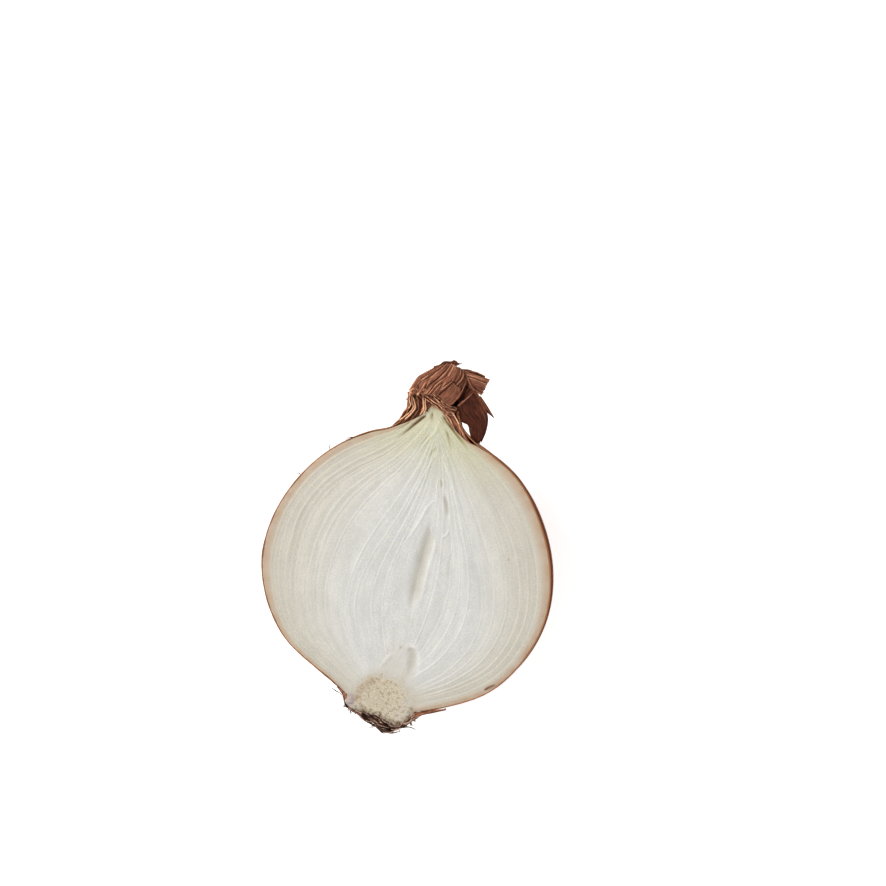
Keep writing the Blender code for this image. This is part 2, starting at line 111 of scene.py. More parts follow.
PLATE_LEFT_EDGE = (-10.2, -35.4)
PLATE_RIGHT_EDGE = (9.1, -35.8)
TIP = (-0.7, 47.9)

# Seams between scales, as shares of the way from the middle line to the outline
LEFT_SEAMS = [0.19, 0.26, 0.365, 0.43, 0.57, 0.65, 0.69, 0.77, 0.80, 0.84, 0.89, 0.94]
RIGHT_SEAMS = [0.13, 0.22, 0.29, 0.36, 0.46, 0.565, 0.675, 0.785, 0.855, 0.92]
HALF_COLUMNS = 150
FACE_ROWS = 180
PLATE_ROWS = 34
UNDER_STEPS = 40
SPINE_SHARE = 0.9          # share of a half's columns that end between the innermost scale and the tip
FAR = 9.0                  # distance to the nearest seam, for points that have none near
UNDER_LAYER = 30.0         # number of the outermost layer, on the round back

FEWEST_COLUMNS = 5         # in one scale

# Relief of the cut face
SEAM_HALF_WIDTH = 0.18
SEAM_DIP = (0.5, 0.3)      # how far beside a seam the flesh dips, and half the width of the dip
SCALE_SWELL = 0.035
BROAD_WAVES = 0.14
FINE_WAVES = 0.05
RIM_SET_BACK = 0.12
GRAIN_HEIGHT = 0.10
GRAIN_SUNK = 0.08

# Stains
TIP_STAIN = (-0.7, 47.5)
TIP_STAIN_SIZE = (1.1, 0.9)
SPECKS = [(2.3, -18.9), (26.9, 10.5)]
SPECK_RADIUS = 0.24

# The root plate
PLATE_BOTTOM = [
    (-10.3, -36.6), (-9.5, -37.8), (-8.5, -38.2), (-7.0, -38.5), (-5.0, -38.7), (-3.0, -38.9), (0.0, -39.3),
    (2.3, -40.0), (4.4, -40.5), (6.2, -39.9), (7.8, -38.7), (8.8, -36.9), (9.1, -36.1),
]
PLATE_CENTRE = (1.6, -34.0)     # the bud and the plate under it, which are yellower than the scales
PLATE_REACH = 15.5
SCORCH_REACH = 2.1
KNOB_PLACE = (-8.9, -36.1)
KNOB_SIZE = (1.25, 2.0)
GRAIN_CENTRE = (-0.4, -34.0)
GRAIN_REACH = (7.9, 6.9)

# Marks in the cut face: the line that each follows, its height, its half width, and the shares of its
# length over which it rises and fades
SLITS = [
    ([(4.7, 17.6), (4.3, 11.7), (3.7, 6.2), (3.3, 0.1), (3.1, -4.6), (3.4, -9.8)], -0.85, 1.40, 0.25, 0.3),
    ([(5.9, 24.9), (6.8, 23.2), (7.6, 21.5), (8.1, 19.8), (8.3, 17.4)], -0.28, 0.55, 0.3, 0.4),
    ([(4.8, 28.7), (5.2, 27.4), (5.3, 25.6)], -0.16, 0.20, 0.3, 0.3),
]
RIDGES = [
    ([(6.0, 14.2), (6.4, 9.4), (5.8, 4.1), (5.5, -1.8), (5.4, -7.7)], 0.34, 0.60, 0.25, 0.4),
    ([(4.1, 28.8), (4.1, 26.1), (4.5, 23.3), (4.8, 20.4)], 0.22, 0.26, 0.2, 0.4),
    ([(5.0, 28.4), (5.8, 27.4), (6.1, 25.7)], 0.25, 0.24, 0.2, 0.3),
    ([(5.5, 22.2), (6.1, 17.8), (6.1, 14.3)], 0.18, 0.24, 0.2, 0.4),
    ([(10.7, 9.9), (10.7, 8.1), (10.9, 6.2)], 0.30, 0.20, 0.2, 0.3),
    ([(4.4, 23.5), (2.4, 19.7), (0.4, 14.2), (-1.6, 9.8), (-3.8, 5.7)], 0.22, 0.38, 0.2, 0.6),
    ([(5.4, 28.5), (7.9, 22.8), (9.1, 17.9), (9.3, 12.8)], 0.20, 0.24, 0.1, 0.4),
    ([(4.4, 15.4), (5.0, 13.4), (6.1, 12.0)], 0.35, 0.22, 0.2, 0.3),
    ([(9.7, 15.4), (9.0, 13.8), (7.7, 12.6)], 0.35, 0.22, 0.2, 0.3),
    ([(-6.1, 9.1), (-2.9, 19.1), (-0.3, 27.6), (1.8, 33.7), (3.0, 35.8)], 0.12, 0.26, 0.4, 0.1),
    ([(3.0, 35.8), (6.9, 29.7), (10.5, 22.2), (14.0, 14.2)], 0.12, 0.26, 0.1, 0.5),
    ([(1.7, 44.6), (1.1, 40.8), (-0.4, 38.8), (-1.5, 36.6), (-2.5, 33.9)], 0.26, 0.42, 0.1, 0.4),
    ([(-2.6, -26.6), (-1.5, -23.6), (-0.2, -21.8), (2.3, -19.5)], 0.22, 0.55, 0.3, 0.5),
    ([(4.4, -17.4), (6.6, -18.6), (7.9, -21.4), (8.2, -24.5), (7.8, -28.0)], 0.14, 0.62, 0.2, 0.4),
    ([(-9.0, -34.9), (-8.8, -37.2)], 0.45, 1.10, 0.2, 0.2),
]
CREASES = [
    ([(-2.4, 44.6), (-3.9, 42.9), (-5.5, 41.0), (-7.7, 38.1), (-10.3, 35.0)], -1.1, 0.36, 0.05, 0.6),
    ([(2.2, 45.6), (3.6, 43.8), (5.9, 42.0), (7.6, 40.5)], -0.7, 0.30, 0.1, 0.5),
    ([(-0.8, 46.3), (-0.6, 44.4), (0.1, 42.8)], -0.5, 0.30, 0.3, 0.5),
    ([(3.5, 44.6), (6.0, 41.7), (10.1, 38.2), (13.6, 33.9)], -0.5, 0.26, 0.1, 0.6),
    ([(3.2, 42.6), (4.8, 40.1), (6.4, 38.1), (7.6, 34.5)], -0.3, 0.30, 0.3, 0.6),
    ([(0.7, 40.9), (-0.9, 38.9), (-2.1, 36.8), (-3.4, 32.8)], -0.2, 0.34, 0.4, 0.5),
    ([(2.6, 37.4), (1.2, 35.2), (0.2, 32.5)], -0.15, 0.32, 0.4, 0.5),
    ([(-6.0, 42.4), (-7.6, 40.6), (-10.2, 38.7)], -0.4, 0.22, 0.2, 0.5),
    ([(2.1, 45.2), (2.7, 44.1), (3.6, 42.8)], -0.4, 0.34, 0.3, 0.5),
    ([(3.7, 42.1), (4.8, 39.8), (6.1, 37.1), (7.4, 34.1)], -0.3, 0.24, 0.2, 0.6),
    ([(5.9, 42.0), (7.7, 40.4), (10.3, 38.6), (13.4, 36.5)], -0.3, 0.24, 0.2, 0.6),
]
STAINED_CREASES = 3        # how many of the creases have browned
BUD_HOLLOW = ([(4.4, -18.2), (5.6, -20.3), (6.0, -22.7), (5.9, -25.5), (5.2, -28.0)], -0.45, 1.15, 0.15, 0.5)
TAN_ARC = ([(-6.9, -36.6), (-7.1, -34.2), (-6.3, -32.2), (-4.9, -30.6), (-3.0, -29.3), (-0.8, -28.6)],
           0.0, 1.05, 0.05, 0.35)


# Shape helpers


def smooth_curve(points):
    """A function of shares, 0 to 1, that runs evenly along a smooth curve through the points."""
    points = np.array(points, float)
    steps = np.linalg.norm(np.diff(points, axis=0), axis=1)
    knots = np.concatenate([[0.0], np.cumsum(steps)])
    tangents = np.gradient(points, knots, axis=0)

    def along(shares):
        length = np.clip(np.asarray(shares, float), 0.0, 1.0) * knots[-1]
        k = np.clip(np.searchsorted(knots, length) - 1, 0, len(steps) - 1)
        span = steps[k][..., None]
        u = ((length - knots[k]) / steps[k])[..., None]
        return (
            (2 * u**3 - 3 * u**2 + 1) * points[k]
            + (u**3 - 2 * u**2 + u) * span * tangents[k]
            + (3 * u**2 - 2 * u**3) * points[k + 1]
            + (u**3 - u**2) * span * tangents[k + 1]
        )

    return along


def inset(points, distance):
    """The points of an open outline moved inwards, towards the bulb's axis."""
    points = np.array(points, float)
    along = np.gradient(points, axis=0)
    across = np.stack([along[:, 1], -along[:, 0]], axis=1)
    across /= np.linalg.norm(across, axis=1)[:, None]
    inwards = np.sign(-points[:, 0:1]) * np.sign(across[:, 0:1])
    return points + across * inwards * distance


def step_up(value, low, high):
    """0 below low, 1 above high, and a smooth rise between."""
    u = np.clip((np.asarray(value, float) - low) / (high - low), 0.0, 1.0)
    return u * u * (3 - 2 * u)


def rumple(x, y, seed):
    """Smooth noise from -1 to 1, one bump a unit."""
    size = 64
    table = np.random.default_rng(seed).uniform(-1, 1, (size, size))
    x, y = np.broadcast_arrays(np.asarray(x, float), np.asarray(y, float))
    i, j = np.floor(x).astype(int), np.floor(y).astype(int)
    u, v = x - i, y - j
    u, v = u * u * (3 - 2 * u), v * v * (3 - 2 * v)
    near = table[i % size, j % size] * (1 - u) + table[(i + 1) % size, j % size] * u
    far = table[i % size, (j + 1) % size] * (1 - u) + table[(i + 1) % size, (j + 1) % size] * u
    return near * (1 - v) + far * v


def line_distance(x, y, line):
    """Distance from each point to a line of straight stretches, and how far along it that is."""
    best = np.full(np.shape(x), np.inf)
    where = np.zeros(np.shape(x))
    stretches = len(line) - 1
    for k in range(stretches):
        (ax, ay), (bx, by) = line[k], line[k + 1]
        length = (bx - ax) ** 2 + (by - ay) ** 2
        u = np.clip(((x - ax) * (bx - ax) + (y - ay) * (by - ay)) / length, 0.0, 1.0)
        gap = np.hypot(x - ax - u * (bx - ax), y - ay - u * (by - ay))
        closer = gap < best
        where = np.where(closer, (k + u) / stretches, where)
        best = np.where(closer, gap, best)
    return best, where


def underside(left, right, turns, floor=0.0):
    """Half round rows under the cut plane, between left and right rim points for each row and turn."""
    middle, reach = (left + right) / 2, (left - right) / 2
    angle = np.pi * turns[None, :]
    flat = middle + reach * np.cos(angle)[..., None]
    drop = np.linalg.norm(reach, axis=2) * np.sin(angle)
    return np.concatenate([flat, np.maximum(CUT - drop, floor)[..., None]], axis=2)


def grid_normals(points):
    """Unit normals of a grid of points."""
    down = np.gradient(points, axis=0)
    across = np.gradient(points, axis=1)
    normals = np.cross(down, across)
    length = np.linalg.norm(normals, axis=2, keepdims=True)
    return normals / np.maximum(length, 1e-9)


def grid_quads(rows, columns, first=0, flip=False):
    """Quads between the points of a grid stored row by row from index first."""
    a = first + (np.arange(rows - 1)[:, None] * columns + np.arange(columns - 1)).ravel()
    quads = np.stack([a, a + 1, a + columns + 1, a + columns], axis=1)
    return (quads[:, ::-1] if flip else quads).tolist()


def strip(row_a, row_b):
    """Triangles between two rows of point numbers that need not be equally long."""
    faces = []
    i = j = 0
    while i < len(row_a) - 1 or j < len(row_b) - 1:
        ahead_a = (i + 1) / (len(row_a) - 1)
        ahead_b = (j + 1) / (len(row_b) - 1)
        if j == len(row_b) - 1 or (i < len(row_a) - 1 and ahead_a <= ahead_b):
            faces.append((row_a[i], row_a[i + 1], row_b[j]))
            i += 1
        else:
            faces.append((row_a[i], row_b[j + 1], row_b[j]))
            j += 1
    return faces


def mesh_piece(name, points, faces, uv, values, weld=WELD):
    """A smooth mesh object from millimetre points, with a UV map and named values for its points."""
    mesh = bpy.data.meshes.new(name)
    mesh.from_pydata((np.asarray(points, float) * MM).tolist(), [], faces)
    corner_points = np.zeros(len(mesh.loops), np.int32)
    mesh.loops.foreach_get("vertex_index", corner_points)
    layer = mesh.uv_layers.new(name="surface")
    layer.data.foreach_set("uv", np.asarray(uv, np.float32)[corner_points].ravel())
    for key, value in values.items():
        made = mesh.attributes.new(key, "FLOAT", "POINT")
        made.data.foreach_set("value", np.asarray(value, np.float32).ravel())
    bm = bmesh.new()
    bm.from_mesh(mesh)
    bmesh.ops.remove_doubles(bm, verts=bm.verts, dist=weld * MM)
    bmesh.ops.dissolve_degenerate(bm, edges=bm.edges, dist=weld * MM)
    bmesh.ops.recalc_face_normals(bm, faces=bm.faces)
    if bm.calc_volume(signed=True) < 0:
        bmesh.ops.reverse_faces(bm, faces=bm.faces)
    bm.to_mesh(mesh)
    bm.free()
    mesh.shade_smooth()
    piece = bpy.data.objects.new(name, mesh)
    bpy.context.scene.collection.objects.link(piece)
    return piece


def sheet_piece(name, front, back, uv, values):
    """A closed thin solid between two grids of points of the same size."""
    rows, columns = front.shape[:2]
    count = rows * columns
    points = np.concatenate([front.reshape(-1, 3), back.reshape(-1, 3)])
    faces = grid_quads(rows, columns) + grid_quads(rows, columns, count, flip=True)
    index = np.arange(count).reshape(rows, columns)
    edge = np.concatenate([index[0, :-1], index[:-1, -1], index[-1, :0:-1], index[:0:-1, 0]])
    ahead = np.roll(edge, -1)
    faces += np.stack([edge, edge + count, ahead + count, ahead], axis=1).tolist()
    both = {key: np.tile(np.ravel(value), 2) for key, value in values.items()}
    return mesh_piece(name, points, faces, np.tile(uv.reshape(-1, 2), (2, 1)), both)


def finish_piece(piece, node, material):
    """Gives a piece its material and body, and hides the CAD node that it stands for."""
    piece.data.materials.clear()
    piece.data.materials.append(material)
    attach(piece, BODY)
    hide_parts(node)


# Material helpers


def node_material(name):
    made = bpy.data.materials.new(name)
    made.use_nodes = True
    return made, made.node_tree, made.node_tree.nodes["Principled BSDF"]


def feed(tree, node, values):
    """Sets a node's inputs to values, or links them from sockets."""
    for key, value in values.items():
        if isinstance(value, bpy.types.NodeSocket):
            tree.links.new(value, node.inputs[key])
        else:
            node.inputs[key].default_value = value


def add(tree, kind, values=None, **settings):
    """A new node with its settings and inputs."""
    node = tree.nodes.new(kind)
    for key, value in settings.items():
        setattr(node, key, value)
    feed(tree, node, values or {})
    return node


def sums(tree, operation, first, second=0.0, third=None):
    values = {0: first, 1: second}
    if third is not None:
        values[2] = third
    return add(tree, "ShaderNodeMath", values, operation=operation).outputs[0]


def times(tree, product, *factors):
    """The product of sockets and numbers."""
    for factor in factors:
        product = sums(tree, "MULTIPLY", product, factor)
    return product


def marked(tree, name, *factors):
    """A named value of the surface, multiplied by factors."""
    return times(tree, value_of(tree, name), *factors)


def blend_colours(tree, share, first, second, kind="MIX"):
    values = {0: share, 6: first, 7: second}
    return add(tree, "ShaderNodeMix", values, data_type="RGBA", blend_type=kind).outputs[2]


def tinted(tree, colour, *layers):
    """A colour with tints laid over it, each with its share."""
    for share_over, over in layers:
        colour = blend_colours(tree, share_over, colour, rgb(over))
    return colour


def spread(tree, value, low, high, to_low=0.0, to_high=1.0):
    values = {0: value, 1: low, 2: high, 3: to_low, 4: to_high}
    return add(tree, "ShaderNodeMapRange", values, interpolation_type="SMOOTHSTEP").outputs[0]


def stretched(tree, vector, scale):
    return add(tree, "ShaderNodeMapping", {"Vector": vector, "Scale": scale}).outputs[0]


def noise(tree, vector, scale, detail=2.0, roughness=0.5, distortion=0.0):
    values = {
        "Vector": vector, "Scale": scale, "Detail": detail, "Roughness": roughness, "Distortion": distortion,
    }
    return add(tree, "ShaderNodeTexNoise", values).outputs["Fac"]


def value_of(tree, name):
    return add(tree, "ShaderNodeAttribute", attribute_name=name).outputs["Fac"]


def surface_map(tree):
    return add(tree, "ShaderNodeUVMap", uv_map="surface").outputs[0]


def object_place(tree):
    return add(tree, "ShaderNodeTexCoord").outputs["Object"]


def bumps(tree, *layers):
    """A surface normal from bumps laid over each other: the height, distance and strength of each."""
    normal = None
    for height, distance, strength in layers:
        values = {"Height": height, "Distance": distance, "Strength": strength}
        if normal is not None:
            values["Normal"] = normal
        normal = add(tree, "ShaderNodeBump", values).outputs[0]
    return normal


def rgb(colour):
    return (*colour, 1.0)


# Settings


def length(label, words, default, low, high):
    return bpy.props.FloatProperty(
        name=label, description=words, default=default, min=low, max=high, subtype="DISTANCE", unit="LENGTH"
    )


def share(label, words, default, low=0.0, high=1.0):
    return bpy.props.FloatProperty(
        name=label, description=words, default=default, min=low, max=high, subtype="FACTOR"
    )


def tint(label, words, default):
    return bpy.props.FloatVectorProperty(
        name=label, description=words, default=default, min=0.0, max=1.0, size=3, subtype="COLOR"
    )


def count(label, words, default, low, high):
    return bpy.props.IntProperty(name=label, description=words, default=default, min=low, max=high)


class OnionFleshSettings(bpy.types.PropertyGroup):
    seam_height: length("Seam height", "Height of the thin skins between the scales", 0.00005, 0.0, 0.0003)
    slit_depth: length("Slit depth", "Depth of the gap between the innermost scales", 0.0011, 0.0, 0.004)
    seam_strength: share("Seam strength", "How clearly the seams between scales show", 0.70)
    centre_tint: tint("Centre", "Flesh in the middle of the cut face", (0.645, 0.636, 0.606))
    side_tint: tint("Sides", "Flesh of the outer scales", (0.572, 0.540, 0.462))
    neck_tint: tint("Neck", "Greenish flesh near the neck", (0.56, 0.55, 0.34))
    rim_tint: tint("Rim", "Outermost scale, next to the skin", (0.47, 0.33, 0.22))
    plate_tint: tint("Root plate", "Corky flesh of the root plate", (0.78, 0.66, 0.48))


class OnionSkinSettings(bpy.types.PropertyGroup):
    thickness: length("Thickness", "Thickness of the dry skins together", 0.00030, 0.0002, 0.00075)
    skin_tint: tint("Skin", "Copper brown of the dry skin", (0.21, 0.070, 0.035))
    light_tint: tint("Light fibres", "Paler fibres and dry patches", (0.34, 0.148, 0.086))
    dark_tint: tint("Dark patches", "Darker brown near the roots and in folds", (0.115, 0.036, 0.018))


class OnionNeckSettings(bpy.types.PropertyGroup):
    paper: length("Paper", "Thickness of a dried leaf", 0.00026, 0.0001, 0.0008)
    cut_leaf: length("Cut leaf", "Thickness of the leaves that are cut through", 0.00040, 0.0001, 0.0008)
    leaf_tint: tint("Leaf", "Dried leaf", (0.19, 0.080, 0.048))
    # Also the painted highlight on the rib crests
    edge_tint: tint("Edges", "Pale torn edges and ribs", (0.66, 0.38, 0.235))
    # Also the painted shade in the folds and grooves, and dark flecks
    deep_tint: tint("Folds", "Dark inside folds", (0.028, 0.008, 0.004))


class OnionRootSettings(bpy.types.PropertyGroup):
    root_radius: length("Root radius", "Radius of a dried root at its base", 0.00030, 0.0001, 0.0006)
    root_length: length("Root length", "Length of the short dried roots", 0.0030, 0.001, 0.006)
    roots: count("Roots", "Number of short dried roots", 170, 20, 600)
    cork_tint: tint("Cork", "Corky crown under the root plate", (0.010, 0.005, 0.003))
    root_tint: tint("Roots", "Dried roots", (0.050, 0.021, 0.013))


class OnionStageSettings(bpy.types.PropertyGroup):
    floor_tint: tint("Floor", "Plain pale floor", (0.93, 0.93, 0.93))
    lens: bpy.props.FloatProperty(
        name="Lens", description="Focal length of the camera", default=100.0, min=35.0, max=200.0
    )
    tilt: bpy.props.FloatProperty(
        name="Tilt", description="Angle between the view and the cut face's normal",
        default=math.radians(9.0), subtype="ANGLE", unit="ROTATION",
    )


# The flesh


def cell_counts(widths, total):
    """Shares out a total number of columns over scales of different widths."""
    widths = np.array(widths)
    counts = np.maximum(np.floor(widths / widths.sum() * total).astype(int), FEWEST_COLUMNS)
    counts[np.argmax(counts)] += total - counts.sum()
    return counts


def scale_columns(seams):
    """Columns from the middle line to the outline, closer together next to the seams."""
    knots = np.array([0.0, *seams, 1.0])
    counts = cell_counts(np.diff(knots), HALF_COLUMNS)
    ways = [0.0]
    layers = [0.0]
    for k, cells in enumerate(counts):
        u = (1 - np.cos(np.pi * np.arange(1, cells + 1) / cells)) / 2
        ways += list(knots[k] + (knots[k + 1] - knots[k]) * u)
        layers += list(k + u)
    return np.array(ways), np.array(layers)


def half_face(lines, guide_ways, seams):
    """Points of one half of the cut face, its layer numbers, and the distance to the nearest seam."""
    ways, layers = scale_columns(seams)
    shares = np.arange(FACE_ROWS + 1) / FACE_ROWS
    runs = np.stack([smooth_curve(line)(shares) for line in lines], axis=1)
    k = np.clip(np.searchsorted(guide_ways, ways) - 1, 0, len(lines) - 2)
    guide_ways = np.array(guide_ways)
    part = ((ways - guide_ways[k]) / (guide_ways[k + 1] - guide_ways[k]))[None, :, None]
    points = runs[:, k] * (1 - part) + runs[:, k + 1] * part
    column = np.arange(HALF_COLUMNS + 1) / HALF_COLUMNS
    inner, tip, outer = runs[-1, 0], np.array(TIP), runs[-1, -1]
    to_tip = np.clip(column / SPINE_SHARE, 0, 1)[:, None]
    to_rim = np.clip((column - SPINE_SHARE) / (1 - SPINE_SHARE), 0, 1)[:, None]
    ends = (inner + (tip - inner) * to_tip) * (1 - to_rim) + outer * to_rim
    points = points + (ends - points[-1])[None] * (shares**5)[:, None, None]
    return points, ways, layers


def seam_gap(points, layers):
    """Distance from each point to the nearest seam on its row."""
    whole = np.isclose(layers, np.round(layers))
    seams = np.flatnonzero(whole)[1:]
    gaps = np.stack([np.linalg.norm(points - points[:, s:s + 1], axis=2) for s in seams])
    return gaps.min(axis=0)


def flesh_outline(side):
    skin, edge, cone = {
        "left": (SKIN_LEFT, PLATE_LEFT_EDGE, FLESH_LEFT_CONE),
        "right": (SKIN_RIGHT, PLATE_RIGHT_EDGE, FLESH_RIGHT_CONE),
    }[side]
    rim = inset(skin, FLESH_INSET)
    if side == "right":
        drawn_in = inset(skin, FLESH_INSET + BRIM_TUCK)
        rim = [tucked if abs(tucked[1]) < TUCK_REACH else plain for plain, tucked in zip(rim, drawn_in)]
    return [edge, *rim[1:-NECK_POINTS], *cone]


def mark_share(x, y, mark):
    """How much each point belongs to a mark, from 0 to 1."""
    line, width, rise, fade = mark[0], *mark[2:]
    gap, along = line_distance(x, y, line)
    ends = step_up(along, 0.0, rise) * step_up(along, 1.0, 1.0 - fade)
    return ends * np.exp(-((gap / (width * (0.5 + 0.5 * ends))) ** 2))


def face_relief(x, y, gap, layers, ways, share_up, seam_height, slit_depth):
    """Height of the cut face over the cut plane."""
    fade = step_up(share_up, 0.0, 0.08) * step_up(share_up, 1.0, 0.93)
    dip = np.exp(-(((gap - SEAM_DIP[0]) / SEAM_DIP[1]) ** 2))
    height = seam_height * fade * (np.exp(-((gap / SEAM_HALF_WIDTH) ** 2)) - dip)
    height = height + SCALE_SWELL * np.sin(2 * np.pi * layers) * fade
    height = height + BROAD_WAVES * rumple(x / 9, y / 12, 1) + FINE_WAVES * rumple(x / 2.3, y / 5.5, 2)
    for mark in SLITS:
        height = height + slit_depth * mark[1] * mark_share(x, y, mark)
    for mark in [*RIDGES, *CREASES, BUD_HOLLOW]:
        height = height + mark[1] * mark_share(x, y, mark)
    height = height + grain_share(x, y) * (GRAIN_HEIGHT * rumple(x / 1.1, y / 1.2, 3) - GRAIN_SUNK)
    return height - RIM_SET_BACK * step_up(ways, 0.988, 1.0)


def grain_share(x, y):
    """1 in the grainy part of the root plate, falling softly to 0 round it."""
    across = (x - GRAIN_CENTRE[0]) / GRAIN_REACH[0]
    up = (y - GRAIN_CENTRE[1]) / GRAIN_REACH[1]
    up = np.where(up < 0, 0.45 * up, up)
    ragged = 0.10 * rumple(x / 2.1, y / 2.1, 5)
    return step_up(np.hypot(across, up) + ragged, 1.45, 0.40)


def plate_rows(top, stations):
    """Rows from the domed top of the root plate down to its underside."""
    low = smooth_curve(PLATE_BOTTOM)((1 + stations) / 2)
    down = (np.arange(PLATE_ROWS, 0, -1) / PLATE_ROWS)[:, None, None]
    return top[None] * (1 - down) + low[None] * down


def make_flesh(settings):
    left_lines = [MIDDLE_LINE, LEFT_INNER_LINE, LEFT_OUTER_LINE, flesh_outline("left")]
    right_lines = [MIDDLE_LINE, RIGHT_INNER_LINE, RIGHT_OUTER_LINE, flesh_outline("right")]
    left, left_ways, left_layers = half_face(left_lines, LEFT_GUIDES, LEFT_SEAMS)
    right, right_ways, right_layers = half_face(right_lines, RIGHT_GUIDES, RIGHT_SEAMS)
    flat = np.concatenate([left[:, :0:-1], right], axis=1)
    stations = np.concatenate([-left_ways[:0:-1], right_ways])
    layers = np.concatenate([-left_layers[:0:-1], right_layers])
    gap = np.concatenate([seam_gap(left, left_layers)[:, :0:-1], seam_gap(right, right_layers)], axis=1)
    plate = plate_rows(flat[0], stations)
    flat = np.concatenate([plate, flat])
    gap = np.concatenate([np.full(plate.shape[:2], FAR), gap])
    shares = np.concatenate([np.zeros(PLATE_ROWS), np.arange(FACE_ROWS + 1) / FACE_ROWS])[:, None]
    height = face_relief(
        flat[..., 0], flat[..., 1], gap, layers[None], np.abs(stations)[None], shares,
        settings.seam_height / MM, settings.slit_depth / MM,
    )
    face = np.concatenate([flat, (CUT + height)[..., None]], axis=2)
    under = underside(flat[:, :1], flat[:, -1:], np.arange(UNDER_STEPS + 1) / UNDER_STEPS, FLESH_INSET)
    under[:, 0, 2] = face[:, 0, 2]
    under[:, -1, 2] = face[:, -1, 2]
    points = np.concatenate([face.reshape(-1, 3), under.reshape(-1, 3)])
    uv = np.stack(np.broadcast_arrays(layers[None], shares), axis=2).reshape(-1, 2)
    under_uv = np.stack(np.broadcast_arrays(np.full((1, UNDER_STEPS + 1), UNDER_LAYER), shares), axis=2)
    back = len(points) - gap.size
    seam = np.concatenate([gap.ravel(), np.full(back, FAR)])
    way = np.concatenate([np.broadcast_to(np.abs(stations), gap.shape).ravel(), np.ones(back)])
    values = flesh_values(points[:, 0], points[:, 1], np.arange(len(points)) >= gap.size, seam, way)
    uv = np.concatenate([uv, under_uv.reshape(-1, 2)])
    piece = mesh_piece("flesh_scales", points, flesh_faces(*gap.shape), uv, values)
    finish_piece(piece, "flesh", flesh_material(settings))


def flesh_faces(rows, columns):
    """Faces of the cut face, of the round back and of the two ends between them."""
    first = rows * columns
    faces = grid_quads(rows, columns) + grid_quads(rows, UNDER_STEPS + 1, first, flip=True)
    faces += strip(list(range(columns)), list(range(first, first + UNDER_STEPS + 1)))
    spine = round(SPINE_SHARE * HALF_COLUMNS)
    last = (rows - 1) * columns
    beside_tip = [*range(0, HALF_COLUMNS - spine + 1), *range(HALF_COLUMNS + spine + 1, columns)]
    end_row = first + (rows - 1) * (UNDER_STEPS + 1)
    return faces + strip([last + k for k in beside_tip], list(range(end_row, end_row + UNDER_STEPS + 1)))


def flesh_values(x, y, below, seam, way):
    """The named values of the flesh that its material reads, for every point."""

    def marks(lines):
        return sum(mark_share(x, y, mark) for mark in lines)

    return {
        "seam": seam,
        "rim": np.where(below, 1.0, step_up(way, 0.915, 0.99)),
        "way": way,
        "green": step_up(y - 0.25 * np.abs(x - 4.0), 20.0, 44.0),
        # The material paints the ridges lighter, a painted highlight
        "ridge": marks(RIDGES),
        "stain": stain_share(x, y),
        # Painted shade: the material darkens the slits and the bud hollow
        "painted_hollow_shade": marks([*SLITS, BUD_HOLLOW]),
        "olive": marks(CREASES[STAINED_CREASES:]),
        "arc": mark_share(x, y, TAN_ARC),
        "knob": knob_share(x, y),
        "grain": np.where(below, 0.0, grain_share(x, y)),
        "scorch": np.where(below, 0.0, scorch_share(x, y)),
        "plate": plate_share(x, y),
    }


def plate_share(x, y):
    """1 in the root plate and the bud above it, falling softly to 0 round them."""
    across = (x - PLATE_CENTRE[0]) / (4.4 + 0.45 * np.clip(-y - 18.0, 0.0, 12.0))
    up = (y - PLATE_CENTRE[1]) / PLATE_REACH
    far = np.hypot(across, np.where(up > 0, up, 0.5 * up))
    return step_up(far + 0.12 * rumple(x / 2, y / 3, 6), 1.15, 0.55)


def scorch_share(x, y):
    """1 along the lower edge of the root plate, where the cut flesh darkens, falling to 0 above it."""
    gap, along = line_distance(x, y, PLATE_BOTTOM)
    ragged = gap + 0.7 * rumple(x / 0.9, y / 0.9, 6)
    return step_up(ragged, SCORCH_REACH, 0.0) * step_up(along, 0.15, 0.3)


def stain_share(x, y):
    """1 where the tip, the gaps beside it and a few specks have turned brown."""
    across, up = (x - TIP_STAIN[0]) / TIP_STAIN_SIZE[0], (y - TIP_STAIN[1]) / TIP_STAIN_SIZE[1]
    tip = np.exp(-(across**2) - up**2)
    gaps = sum(mark_share(x, y, mark) for mark in CREASES[:STAINED_CREASES])
    specks = sum(np.exp(-((x - a) ** 2 + (y - b) ** 2) / SPECK_RADIUS**2) for a, b in SPECKS)
    return np.clip(tip + gaps * step_up(y, 35.0, 43.0) + specks, 0.0, 1.0)


def knob_share(x, y):
    """1 on the smooth pale knob at the left end of the root plate."""
    across = (x - KNOB_PLACE[0]) / KNOB_SIZE[0]
    up = (y - KNOB_PLACE[1]) / KNOB_SIZE[1]
    return step_up(np.hypot(across, up), 1.25, 0.75)


